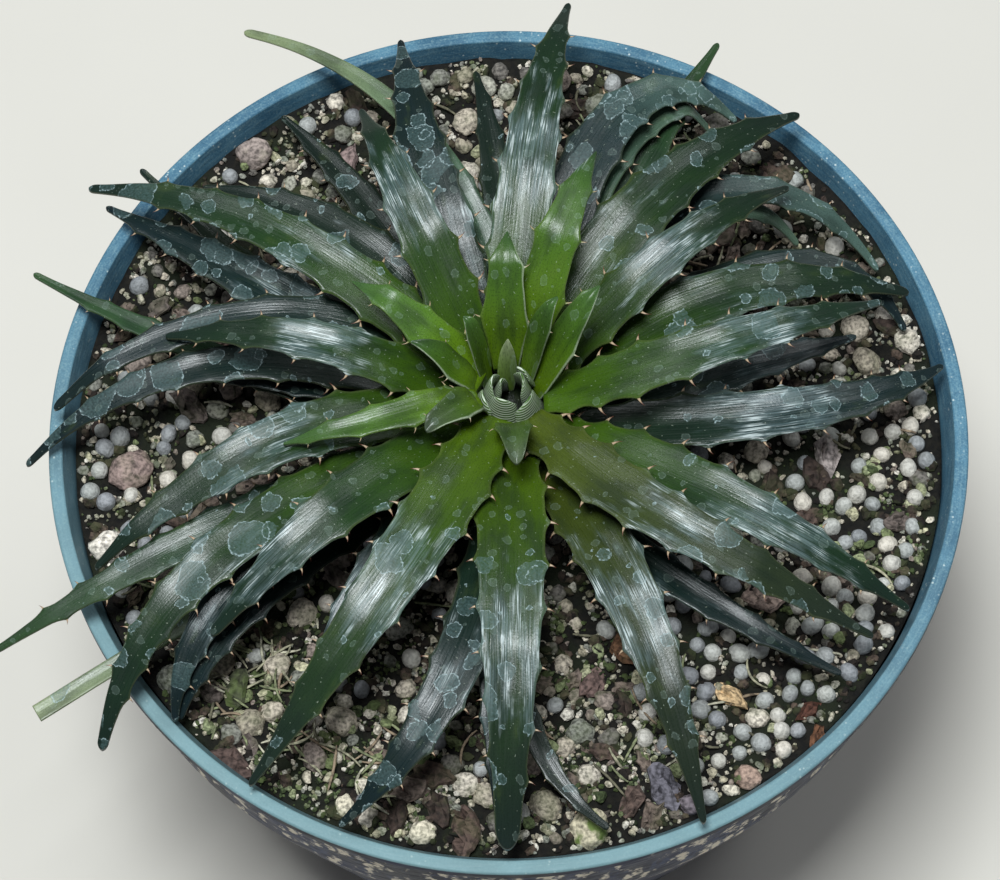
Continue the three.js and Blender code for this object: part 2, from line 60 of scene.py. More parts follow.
# ---- pot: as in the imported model, with round edges
RIM_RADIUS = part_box("pot")[1].x / MM
POT_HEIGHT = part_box("pot")[1].z / MM
RIM_FLAT = 2.4
LIP_DEPTH = 2.6
LIP_OVERHANG = 1.4
LIP_EDGE = 0.5  # radius of the lip's outer edges
LIP_INNER_EDGE = 0.4  # and of its inner one
BAND_DEPTH = 25
BAND_DRAFT = 2.0
BAND_RINGS = (1.5, 2.0)  # rings this far below and above the band's edge keep it crisp
BASE_RADIUS = 55
WALL = 1.8
FLOOR = 3.2
PAD_RADIUS = 18
FOOT_WIDTH = 8
FOOT_EDGE = 1.5
CORNER_POINTS = 6
BASE_RECESS = 1.2
DRAIN_COUNT = 5
DRAIN_RADIUS = 4.5
DRAIN_SIDES = 40
POT_SIDES = 192
LIME_FROM = (50, 12)  # depths below the rim between which the lime sets in
LIME_TO = (2.6, 4)  # and between which it ends, under the lip
BLUE_FROM = (0.55, 0.3)  # depths between which the navy outside turns into the blue lip

# ---- soil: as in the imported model, with finer relief and a bank along the wall
SOIL_DEPTH = 6  # below the rim
SOIL_TOP = POT_HEIGHT - SOIL_DEPTH
GAP = 0.3
CAUDEX_RADIUS = 15
CAUDEX_HEIGHT = 16
CROWN_RADIUS = 3.5
NECK_RADIUS = 9  # of the stem, down in the soil
NECK_DEPTH = 18
SOIL_RELIEF = 1.1  # height and size of the lumps of the surface
SOIL_LUMP = 9
SOIL_SINK = 0.6  # its mean lies this far below the packed soil's
SOIL_BANK = (1.4, 3.6)  # height of the bank, at the front and at the back
BANK_RADII = (56, 73)  # between which it rises
BANK_TURN = (-10, 50)  # places on Y between which its front turns into its back
SOIL_SECTORS = 200
SOIL_RINGS = 80

# ---- leaves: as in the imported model, apart from the marked values
OLDEST_START = CAUDEX_RADIUS
YOUNGEST_START = 4.6
KEEL_ROOT = 1.4
KEEL = 2.0
KEEL_TIP = 0.9
EDGE = 0.7
CHANNEL = 0.24
ROOT_WIDTH = 0.62
SHOULDER = 0.22
TAPER = 2.1  # finer here: a little fuller towards the tip
TIP_HALF_WIDTH = 0.6  # finer here, as are the tips below
YOUNG_TIP = 0.25
FULL_KEEL_WIDTH = 8
STEEPEST = 2.2
COARSE_PITCH = 11.5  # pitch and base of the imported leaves' teeth, which set their rings
COARSE_BASE = 2.2
TEETH_FROM = 0.1
TEETH_TO = 0.94

# Each leaf from the oldest to the youngest: direction at the stem and at the tip (degrees), reach, height of
# the middle and of the tip above the rim, width, curl. Then its finish: palette, share of the skin with
# flakes, amount of silver film with its painted highlight, and where along the leaf both are strongest.
# Leaf 15 is slimmer here.
LEAVES = [
    (152, 142, 80, 4, 2.5, 4.4, 0, "green", 0.2, 0.1, 0.5),
    (64, 62, 81, 5, 4, 7.2, 0, "plain", 0.0, 0.0, 0.5),
    (116, 123, 71, 3, 2, 7.2, 0, "dark", 0.3, 0.1, 0.5),
    (172, 160, 86, 4, 2.5, 5.2, 0, "plain", 0.1, 0.1, 0.8),
    (215, 213, 92, 4, 2.5, 5.0, 0, "strap", 0.4, 0.0, 0.9),
    (266, 282, 72, 3, 1, 4.6, 0.5, "dark", 0.2, 0.2, 0.9),
    (88, 94, 68, 4, 2, 6.8, 0, "dark", 0.2, 0.1, 0.5),
    (51, 34, 61, 10, -1, 5.8, 0.8, "pale", 0.2, 0.4, 0.7),
    (166, 171, 50, 5, 1, 5.8, 0, "slate", 0.2, 0.5, 0.7),
    (215, 223, 74, 8, 0, 7.6, 0.5, "slate", 0.3, 0.5, 0.6),
    (71, 57, 66, 9, 2, 5.8, 0.9, "pale", 0.1, 0.4, 0.8),
    (305, 320, 70, 5, 1, 6.2, 0, "slate", 0.1, 0.5, 0.5),
    (118, 139, 69, 8, 3, 8.4, 0, "dark", 0.7, 0.4, 0.5),
    (36, 14, 70, 7, 0, 6.6, 0.8, "slate", 0.4, 0.2, 0.5),
    (87, 121, 88, 11, 4, 4.3, 0, "strap", 0.1, 0.1, 0.4),
    (6, 14, 61, 7, 3, 7.6, 0, "slate", 0.6, 0.7, 0.7),
    (230, 236, 62, 8, 1, 8.2, 0, "slate", 0.4, 0.7, 0.6),
    (265, 268, 71, 8, 0, 7.0, 0, "slate", 0.5, 0.4, 0.6),
    (152, 149, 80, 8, 4, 9.2, 0, "slate", 0.9, 0.6, 0.5),
    (203, 205, 93, 10, 3, 7.4, 0, "plain", 0.3, 0.5, 0.5),
    (211, 223, 75, 11, 0, 7.6, 0.6, "slate", 0.6, 0.6, 0.7),
    (75, 54, 69, 13, 4, 9.2, 1.0, "arching", 0.9, 0.3, 0.8),
    (161, 184, 81, 11, 1, 6.8, 0.2, "slate", 0.8, 0.3, 0.5),
    (140, 178, 76, 13, 2, 7.6, 0, "slate", 0.7, 0.3, 0.5),
    (58, 24, 70, 12, 0, 7.0, 0.7, "arching", 0.7, 0.2, 0.5),
    (266, 248, 75, 14, 2, 8.8, 0.4, "slate", 0.7, 0.5, 0.5),
    (352, 367, 74, 10, 3, 8.8, 0.4, "slate", 0.6, 0.9, 0.45),
    (31, 18, 72, 16, 4, 9.8, 0, "green", 0.7, 0.5, 0.5),
    (112, 104, 73, 17, 8, 10.0, 0, "slate", 0.8, 0.6, 0.35),
    (206, 220, 87, 16, 1, 8.4, 0.4, "green", 0.7, 0.5, 0.45),
    (60, 47, 75, 18, 8, 11.0, 0, "green", 0.5, 0.5, 0.4),
    (301, 293, 77, 17, 4, 10.0, 0, "dusky", 0.5, 0.8, 0.5),
    (138, 149, 83, 19, 8, 8.8, 0, "green", 0.7, 0.5, 0.45),
    (187, 202, 73, 18, 4, 9.6, 0, "green", 0.5, 0.7, 0.5),
    (38, 38, 61, 23, 14, 7.6, 0, "green", 0.1, 0.9, 0.5),
    (86, 81, 75, 24, 14, 9.6, 0, "green", 0.1, 0.9, 0.5),
    (326, 331, 74, 19, 6, 9.4, 0, "green", 0.3, 0.9, 0.65),
    (220, 220, 63, 22, 12, 9.6, 0, "green", 0.2, 0.8, 0.75),
    (170, 168, 58, 23, 12, 7.6, 0, "green", 0.1, 0.9, 0.5),
    (271, 269, 75, 22, 5, 10.2, 0, "young", 0.5, 0.8, 0.6),
    (122, 115, 57, 26, 18, 8.6, 0, "green", 0.1, 0.9, 0.6),
    (0, 15, 65, 23, 12, 8.2, 0, "green", 0.4, 0.8, 0.6),
    (305, 326, 71, 21, 4, 9.2, 0, "dusky", 0.4, 0.7, 0.5),
    (248, 236, 76, 23, 3, 10.6, 0, "young", 0.4, 0.8, 0.5),
    (206, 196, 38, 22, 19, 5.4, 0, "heart", 0.0, 0.2, 0.6),
    (68, 68, 41, 29, 27, 7.4, 0, "heart", 0.1, 0.6, 0.9),
    (152, 147, 30, 25, 24, 6.4, 0, "heart", 0.1, 0.4, 0.8),
    (92, 89, 22, 27, 30, 6.8, 0, "heart", 0.1, 0.2, 0.8),
]
# The innermost leaves, which are one with the stem, in the same terms.
HEART_LEAVES = [
    (24, 37, 19, 26, 31, 5.4, 0, "heart", 0.0, 0.2, 0.8),
    (168, 166, 16, 23, 27, 4.6, 0, "heart", 0.0, 0.2, 0.8),
    (216, 219, 17, 22, 24, 4.8, 0, "tender", 0.2, 0.2, 0.7),
    (50, 50, 13, 26, 30, 3.6, 0, "heart", 0.0, 0.2, 0.8),
    (275, 274, 18, 24, 27, 5.0, 0, "tender", 0.2, 0.2, 0.7),
    (134, 134, 10, 25, 29, 3.2, 0, "heart", 0.0, 0.2, 0.8),
    (91, 88, 5.6, 18, 23.4, 3.2, 0, "bud", 0.0, 0.0, 0.8),
]
HEART_STARTS = (5.0, 4.8, 4.8, 4.4, 4.6, 4.4, 2.6)  # their distances from the axis at the root, finer here
HEART_SINK = 1  # the heart's leaves start this far inside the stem
CUT_LEAF = 5  # this old leaf has lost its point
CUT_HALF_WIDTH = 1.5
STRAP_LEAF = 15  # this one ends in a toothless strap
STRAP_TEETH_TO = 0.45
# Half widths of the tips of blunt leaves.
BLUNT_TIPS = {15: 0.8, 24: 0.8, 28: 0.9, 30: 0.9, 31: 0.8, 33: 0.8, 38: 0.9, 40: 2.0, 51: 1.1, 53: 1.3}
TIP_LENGTH = 1.6  # a tip is rounded off over this many of its half widths
TIP_RINGS = np.array([1, 0.7, 0.4, 0.2, 0.07])  # places of the rings that round it off

# Colours along a leaf, from its root over its middle to its tip.
PALETTES = {
    "young": ("#5e7e10", "#33521c", "#24342f"),
    "green": ("#4f7310", "#29491f", "#1f342c"),
    "dusky": ("#5c6d1c", "#43522a", "#2a3831"),
    "dark": ("#22381c", "#1c3022", "#192823"),
    "slate": ("#243c20", "#1d332f", "#1a2c31"),
    "plain": ("#243f22", "#2e5032", "#40603a"),
    "pale": ("#2a4430", "#46634f", "#6d8872"),
    "heart": ("#7aa016", "#5e8a28", "#4e7440"),
    "tender": ("#6f9018", "#55762e", "#66755a"),
    "bud": ("#7fa62c", "#aacb70", "#dbe8bc"),
    "arching": ("#1e3424", "#22383a", "#6d8c80"),
    "strap": ("#1e3424", "#5c7c60", "#9ead80"),
}
DEPTH = (0.41, 0.58)  # how far a leaf may darken its palette
OLD_MARGIN = "#5c5334"  # a leaf's very edge, browned by age
YOUNG_MARGIN = "#9aa56c"
WHITE_MARGIN = "#bcc8ac"
WHITE_EDGES = {48: 1, 49: 1, 50: -1, 51: -1, 52: 1, 54: -1, 55: 1}  # leaves with a white margin, and its side

# ---- fine shape of a leaf
RING_PITCH = 0.9
ACROSS = np.array([-1, -0.9, -0.7, -0.45, -0.2, 0, 0.2, 0.45, 0.7, 0.9, 1])  # places of a ring's points
COLUMNS = len(ACROSS)
PLACE_STEP = 40.0  # leaves lie this far apart on the plane that their finish is drawn on
STRIPE_PITCH = 0.6  # of the white lines on the cupped scales of the heart
HEART_CHANNEL = 0.62  # the innermost leaves are folded more deeply
FIRST_TOOTH = (3, 6)  # it stands this far from the root
TOOTH_PITCH_ENDS = 5.0  # teeth stand closer near the root and the tip than in between
TOOTH_PITCH_MIDDLE = 8.4
TOOTH_FALL = 0.45
FULL_TOOTH_WIDTH = 7
FIN_HEIGHT = 0.9  # the broad foot of a tooth, drawn out of the margin
FIN_HALF_BASE = 2.6
CLAW_LENGTH = 1.55
CLAW_RADIUS = 0.26
CLAW_RINGS = 5
CLAW_SIDES = 6
SWELL = 0.2  # height of the low swellings of a blade
SWELL_SIZE = (2.6, 6.0)  # and their sizes across and along it
FIRST_YOUNG_LEAF = 45  # from this leaf on the tips are fine and the teeth have not browned yet
PALE_TOOTH = 0.4
SILVER_AND_SHEEN_REACH = 0.24  # share of its length over which a leaf's silver film and painted highlight fade out
SETTLED_STOPS = 161  # places that a leaf's height is worked out at, and how many of them are averaged
SETTLED_SPAN = 17
LAID_STOPS = 61  # the same for the innermost leaves, which keep this clear of what is beneath them
LAID_SPAN = 15
CLEARANCE = 0.2
FIRST_SEED = 1000

# ---- view
CAMERA_DISTANCE = 580
CAMERA_ELEVATION = 66.36
CAMERA_ROLL = -0.97
CAMERA_LENS = 123.84
CAMERA_SHIFT = (-0.0083, -0.0104)
SENSOR_WIDTH = 36
CLIP_RANGE = (0.05, 10)


# ---- helpers
def linear(colour):
    """A linear colour with alpha from a hex string."""
    channels = [int(colour[i:i + 2], 16) / 255 for i in (1, 3, 5)]
    return tuple(c / 12.92 if c <= 0.04045 else ((c + 0.055) / 1.055) ** 2.4 for c in channels) + (1.0,)


def rgb(colour):
    return np.array(linear(colour)[:3])


def smoothstep(values, low, high):
    share = np.clip((values - low) / (high - low), 0, 1)
    return share * share * (3 - 2 * share)


def lerp(first, second, share):
    return first + (second - first) * share


def smoothed(values, span, **padding):
    """Values averaged under a window of this span."""
    window = np.hanning(span)
    return np.convolve(np.pad(values, span // 2, **padding), window / window.sum(), "valid")


def circle(radius, z, sides):
    """Points of a level circle."""
    turns = FULL_TURN * np.arange(sides) / sides
    return np.stack([radius * np.cos(turns), radius * np.sin(turns), np.full(sides, float(z))], -1)


def grid_faces(rows, columns, flip=False, closed=False):
    """Quads of a grid of points; closed joins the last column to the first."""
    faces = []
    for row in range(rows - 1):
        for column in range(columns if closed else columns - 1):
            beside = (column + 1) % columns
            face = [row * columns + column, row * columns + beside,
                    (row + 1) * columns + beside, (row + 1) * columns + column]
            faces.append(face[::-1] if flip else face)
    return faces


def tube_faces(rings, sides, flip=False):
    """Faces of a tube of rings, with one over each end."""
    first = list(range(sides))
    last = list(range((rings - 1) * sides, rings * sides))
    ends = [first, last[::-1]] if flip else [first[::-1], last]
    return grid_faces(rings, sides, flip, closed=True) + ends


def shell_faces(rows, columns, flip=False):
    """Faces of a closed shell: two grids of points, one after the other, and a wall between their rims."""
    size = rows * columns
    faces = grid_faces(rows, columns, flip)
    faces += [[corner + size for corner in face] for face in grid_faces(rows, columns, not flip)]
    rim = [*range(0, size, columns), *range(size - columns + 1, size)]
    rim += [*range(size - columns - 1, 0, -columns), *range(columns - 2, 0, -1)]
    for corner, after in zip(rim, rim[1:] + rim[:1]):
        if flip:
            faces.append([corner, corner + size, after + size, after])
        else:
            faces.append([corner, after, after + size, corner + size])
    return faces


def add_object(name, data):
    thing = bpy.data.objects.new(name, data)
    bpy.context.scene.collection.objects.link(thing)
    return thing


LAYER_KINDS = {1: ("FLOAT", "value"), 3: ("FLOAT_VECTOR", "vector"), 4: ("FLOAT_COLOR", "color")}


class Pile:
    """Points, faces and per-point values of one piece, gathered bit by bit."""

    def __init__(self):
        self.points = []
        self.faces = []
        self.values = {}
        self.count = 0

    def add(self, points, faces, **values):
        """Each value is one number or row of numbers for all the points, or one for each of them."""
        points = np.asarray(points, float).reshape(-1, 3)
        self.faces += [[corner + self.count for corner in face] for face in faces]
        self.points.append(points)
        self.count += len(points)
        for name, value in values.items():
            value = np.asarray(value, float)
            width = value.shape[-1] if value.ndim > 0 and value.shape[-1] in LAYER_KINDS else 1
            whole = np.broadcast_to(value.reshape(-1, width), (len(points), width))
            self.values.setdefault(name, []).append(whole)

    def piece(self, name, material, slot, smooth=True):
        mesh = bpy.data.meshes.new(name)
        mesh.from_pydata((np.concatenate(self.points) * MM).tolist(), [], self.faces)
        for layer, parts in self.values.items():
            values = np.concatenate(parts).astype(np.float32)
            kind, field = LAYER_KINDS[values.shape[1]]
            mesh.attributes.new(layer, kind, "POINT").data.foreach_set(field, values.ravel())
        mesh.polygons.foreach_set("use_smooth", [smooth] * len(mesh.polygons))
        mesh.materials.append(material)
        mesh.update()
        piece = add_object(name, mesh)
        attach(piece, "root")
        return piece


# ---- materials
class Finish:
    """A procedural material, built up by small calls. A colour is a socket or a hex string."""

    def __init__(self, name, specular):
        self.material = bpy.data.materials.new(name)
        self.material.use_nodes = True
        self.nodes = self.material.node_tree.nodes
        self.links = self.material.node_tree.links
        self.shader = self.nodes["Principled BSDF"]
        self.give("Specular IOR Level", specular)

    def give(self, name, value):
        """Sets or links an input of the shader."""
        self.feed(self.shader.inputs[name], value)

    def feed(self, socket, value):
        if isinstance(value, bpy.types.NodeSocket):
            self.links.new(value, socket)
        else:
            socket.default_value = linear(value) if isinstance(value, str) else value

    def node(self, kind, inputs, **settings):
        node = self.nodes.new("ShaderNode" + kind)
        for key, value in settings.items():
            setattr(node, key, value)
        for key, value in inputs.items():
            self.feed(node.inputs[key], value)
        return node

    def attribute(self, name, output="Fac"):
        return self.node("Attribute", {}, attribute_name=name).outputs[output]

    def math(self, operation, *values):
        return self.node("Math", dict(enumerate(values)), operation=operation).outputs[0]

    def plus(self, first, second):
        return self.math("ADD", first, second)

    def times(self, first, second):
        return self.math("MULTIPLY", first, second)

    def vector_math(self, operation, first, second):
        return self.node("VectorMath", {0: first, 1: second}, operation=operation).outputs[0]

    def scaled(self, vector, *scale):
        return self.vector_math("MULTIPLY", vector, scale)

    def split(self, vector):
        return self.node("SeparateXYZ", {0: vector}).outputs

    def step(self, value, low, high, start=0.0, end=1.0):
        inputs = {"Value": value, "From Min": low, "From Max": high, "To Min": start, "To Max": end}
        return self.node("MapRange", inputs, interpolation_type="SMOOTHSTEP").outputs[0]

    def mix(self, factor, first, second, blend="MIX"):
        inputs = {0: factor, 6: first, 7: second}
        return self.node("Mix", inputs, data_type="RGBA", blend_type=blend).outputs[2]

    def painted(self, colour, *coats):
        """The colour with coats of (factor, colour) laid over it in turn."""
        for factor, coat in coats:
            colour = self.mix(factor, colour, coat)
        return colour

    def noise(self, vector, scale, detail, output="Fac"):
        inputs = {"Vector": vector, "Scale": scale, "Detail": detail}
        return self.node("TexNoise", inputs).outputs[output]

    def drawn_out(self, place, across, along, detail):
        """A noise on a leaf, with its own scales across and along it."""
        return self.noise(self.scaled(place, across, along, 1.0), 1.0, detail)

    def cells(self, vector, scale, dimensions="3D"):
        inputs = {"Vector": vector, "Scale": scale}
        return self.node("TexVoronoi", inputs, voronoi_dimensions=dimensions).outputs

    def warped(self, vector, scale, amount):
        """The vector, pushed about by a noise."""
        push = self.vector_math("SUBTRACT", self.noise(vector, scale, 2.0, "Color"), (0.5, 0.5, 0.5))
        return self.vector_math("ADD", vector, self.scaled(push, amount, amount, amount))

    def position(self):
        """Place on the object, in millimetres."""
        return self.scaled(self.node("TexCoord", {}).outputs["Object"], 1 / MM, 1 / MM, 1 / MM)

    def bump(self, height, distance, strength):
        inputs = {"Height": height, "Distance": distance * MM, "Strength": strength}
        self.give("Normal", self.node("Bump", inputs).outputs[0])


def flakes(skin, place, cell, amount, largest=0.42):
    """Rounded flakes of dried scurf: (inside, outline), from cells of which some hold a flake."""
    cells = skin.cells(skin.warped(place, 1.5 / cell, 0.55 * cell), 1 / cell, "2D")
    lot = skin.node("SeparateColor", {0: cells["Color"]}).outputs[0]
    over = skin.math("SUBTRACT", lot, skin.math("SUBTRACT", 1.0, amount))
    radius = skin.math("MINIMUM", skin.times(over, 1.1), largest)
    depth = skin.times(skin.math("SUBTRACT", radius, cells["Distance"]), cell)
    inside = skin.step(depth, 0.0, 0.1)
    return inside, skin.times(inside, skin.step(depth, 0.3, 0.08))


def leaf_ground(skin, place):
    """The green of a leaf: clouded, speckled, and dotted with faint rings and pale pores."""
    clouds = skin.drawn_out(place, 0.3, 0.12, 4.0)
    speckle = skin.noise(place, 4.5, 3.0)
    inside, outline = flakes(skin, skin.scaled(place, 1.0, -1.0, 1.0), 2.3, 0.4, 0.34)
    pores = skin.cells(skin.warped(place, 0.5, 2.0), 0.5, "2D")["Distance"]
    return skin.painted(
        skin.attribute("tint", "Color"),
        (skin.step(clouds, 0.42, 0.68, 0.0, 0.5), "#14201a"),
        (skin.step(clouds, 0.42, 0.25, 0.0, 0.16), "#55662c"),
        (skin.step(speckle, 0.5, 0.35, 0.0, 0.35), "#0c150c"),
        (skin.times(inside, 0.07), "#8fa39a"),
        (skin.times(outline, skin.step(speckle, 0.4, 0.6, 0.0, 0.16)), "#9cb0a4"),
        (skin.step(pores, 0.05, 0.02, 0.0, 0.3), "#b9c4b0"))


def silvered_with_sheen(skin, place, colour, streaks):
    """Silver film on the arch of the leaf, partly its own scurf and partly a painted highlight: cloudy
    patches, fine white lines brightened by painted glints, and dark wrinkles.
    """
    patchy = skin.times(skin.drawn_out(place, 0.45, 0.13, 4.0), 1.7)
    film_and_sheen = skin.step(skin.plus(skin.attribute("silver"), patchy), 1.34, 1.84)
    lines = skin.drawn_out(place, 5.2, 0.14, 2.0)
    painted_shine = skin.step(skin.drawn_out(place, 0.5, 0.22, 4.0), 0.46, 0.62, 0.06, 0.8)
    return skin.painted(
        colour,
        # the silver film: partly scurf, partly painted highlight
        (skin.times(film_and_sheen, skin.step(streaks, 0.35, 0.7, 0.1, 0.4)), "#6c8287"),
        # painted highlight: glints of light on the fine lines of the silver film
        (skin.times(skin.times(film_and_sheen, painted_shine), skin.step(lines, 0.5, 0.58)), "#b9c4c3"),
        (skin.times(film_and_sheen, skin.step(lines, 0.43, 0.36, 0.0, 0.6)), "#16231f"))


def leaf_finish():
    skin = Finish("dyckia_skin", 0.3)
    place = skin.attribute("place", "Vector")
    streaks = skin.drawn_out(place, 3.4, 0.12, 4.0)
    wave = skin.math("SINE", skin.times(skin.split(place)[0], FULL_TURN / STRIPE_PITCH))
    chance = skin.times(skin.attribute("patches"), 0.8)
    frayed = skin.warped(place, 1.6, 0.8)
    large, large_edge = flakes(skin, frayed, 7.5, chance)
    small, small_edge = flakes(skin, skin.scaled(frayed, -1.0, 1.0, 1.0), 4.2, chance)
    flake = skin.math("MAXIMUM", large, small)
    flake_edge = skin.math("MAXIMUM", large_edge, small_edge)
    grain = skin.noise(place, 2.6, 4.0)
    tooth = skin.attribute("tooth")
    skin.give("Base Color", skin.painted(
        silvered_with_sheen(skin, place, leaf_ground(skin, place), streaks),
        # white stripes on the cupped scales of the heart
        (skin.times(skin.step(wave, -0.1, 0.7), skin.attribute("stripes")), "#cdd6c4"),
        # flakes and their outlines
        (skin.times(flake, skin.step(grain, 0.3, 0.7, 0.14, 0.5)), "#48605f"),
        (skin.times(flake_edge, skin.step(grain, 0.38, 0.62, 0.05, 0.7)), "#9fb2b4"),
        # teeth and their points
        (skin.step(tooth, 0.0, 0.3), "#a08a70"),
        (skin.step(tooth, 0.4, 0.85), "#5c3426")))
    rough = skin.plus(skin.step(streaks, 0.3, 0.7, 0.2, 0.32), skin.times(flake, 0.1))
    skin.give("Roughness", skin.plus(rough, skin.times(grain, 0.1)))
    skin.bump(skin.plus(skin.times(streaks, 0.5), skin.times(grain, 0.25)), 0.1, 1.0)
    return skin.material


def navy_outside(shell, place, height):
    """The pot's navy outside, with a band of dried lime below the lip: a haze with pale clotted dots."""
    clouds = shell.step(shell.noise(place, 0.06, 5.0), 0.35, 0.65)
    begins, ends = [[POT_HEIGHT - depth for depth in depths] for depths in (LIME_FROM, LIME_TO)]
    band = shell.times(shell.step(height, *begins), shell.step(height, *ends))
    upright = shell.scaled(shell.warped(place, 0.5, 1.6), 1.0, 1.0, 0.45)
    blots = shell.times(shell.noise(upright, 0.2, 5.0), shell.step(band, 0.0, 1.0, 0.72, 1.08))
    mottle = shell.times(shell.step(blots, 0.4, 0.6), shell.step(shell.noise(upright, 0.9, 4.0), 0.42, 0.62))
    dots = shell.plus(shell.cells(upright, 0.42)["Distance"], shell.noise(place, 1.2, 4.0))
    clots = shell.times(shell.step(dots, 1.0, 0.78), shell.step(blots, 0.46, 0.54))
    haze = shell.times(mottle, 0.5)
    return shell.painted("#070d22", (clouds, "#121e40"), (haze, "#33456f"), (clots, "#d9d0be"))


def blue_lip(shell, place, streaks, inside):
    """The blue of the lip and the inner wall, sandy, speckled and paler towards the front and left, with
    painted shade darkening the inner wall.
    """
    sand = shell.noise(place, 3.2, 3.0)
    specks = shell.step(shell.cells(place, 0.9)["Distance"], 0.22, 0.12)
    specks = shell.times(specks, shell.step(shell.noise(place, 0.15, 3.0), 0.48, 0.62, 0.0, 0.6))
    x, y = shell.split(place)[:2]
    sideways = shell.plus(y, shell.times(x, 0.35))
    return shell.painted(
        "#385d73",
        (shell.step(shell.noise(place, 0.11, 5.0), 0.35, 0.7), "#4f788c"),
        (shell.step(streaks, 0.45, 0.7, 0.0, 0.25), "#7f9fa6"),
        (shell.step(sand, 0.5, 0.7, 0.0, 0.25), "#94aeac"),
        (shell.step(sand, 0.46, 0.32, 0.0, 0.35), "#24465a"),
        (specks, "#c8d3cf"),
        # paler towards the front and a little towards the left
        (shell.step(sideways, RIM_RADIUS * 0.3, -RIM_RADIUS, 0.0, 0.7), "#789494"),
        # painted shade: the inner wall darkened
        (shell.times(inside, 0.3), "#1c3a4e"))


def pot_finish():
    shell = Finish("weathered_pot", 0.16)
    place = shell.position()
    x, y, height = shell.split(place)
    inside = shell.attribute("inside")
    # streaks brushed around the pot
    around = shell.times(shell.math("ARCTAN2", y, x), 0.3 * RIM_RADIUS)
    away = shell.math("SQRT", shell.plus(shell.math("POWER", x, 2.0), shell.math("POWER", y, 2.0)))
    brushed = shell.node("CombineXYZ", {0: around, 1: shell.times(away, 3.0), 2: height}).outputs[0]
    streaks = shell.noise(brushed, 0.9, 6.0)
    lip = shell.step(height, *[POT_HEIGHT - depth for depth in BLUE_FROM])
    outer = navy_outside(shell, place, height)
    shell.give("Base Color", shell.mix(shell.math("MAXIMUM", lip, inside), outer,
                                       blue_lip(shell, place, streaks, inside)))
    shell.give("Roughness", shell.step(streaks, 0.3, 0.7, 0.42, 0.6))
    shell.bump(streaks, 0.15, 0.6)
    return shell.material


def mineral_finish(name, colours, pits, rough, moss=0.0, shine=0.3, pit_shade="#7d7d7d", green="#4b5630"):
    """Finish of a heap of grains, each of one of the colours by its lot, with pits darkened by painted shade
    and some moss.
    """
    stone = Finish(name, shine)
    place = stone.position()
    grain = stone.noise(place, pits, 4.0)
    lots = stone.node("ValToRGB", {0: stone.attribute("lot")})
    ramp = lots.color_ramp
    ramp.interpolation = "CONSTANT"
    for i, colour in enumerate(colours):
        element = ramp.elements[0] if i == 0 else ramp.elements.new(i / len(colours))
        element.color = linear(colour)
    ramp.elements.remove(ramp.elements[-1])
    # darker in the hollows of the grain: the stone's own mottling and painted shade
    pits_and_shade = stone.mix(stone.step(grain, 0.25, 0.7), pit_shade, "#ffffff")
    mossy = stone.step(stone.noise(place, 0.28, 4.0), 0.45, 0.62, 0.0, moss)
    stone.give("Base Color", stone.mix(mossy, stone.mix(1.0, lots.outputs[0], pits_and_shade, "MULTIPLY"), green))
    stone.give("Roughness", stone.step(grain, 0.2, 0.8, rough - 0.12, rough))
    stone.bump(grain, 0.35, 0.8)
    return stone.material


def soil_finish():
    earth = Finish("dark_soil_and_shade", 0.25)
    place = earth.position()
    crumbs = earth.noise(place, 0.9, 5.0)
    moss = earth.step(earth.noise(place, 0.07, 3.0), 0.48, 0.62, 0.0, 0.6)
    # the near-black ground is partly the soil's own colour and partly painted shade in the gaps between
    # grains
    colour = earth.painted("#050504", (earth.step(crumbs, 0.3, 0.75), "#1c1a15"), (moss, "#1a2211"))
    earth.give("Base Color", colour)
    earth.give("Roughness", earth.step(crumbs, 0.2, 0.8, 0.8, 0.98))
    earth.bump(crumbs, 0.8, 1.0)
    return earth.material


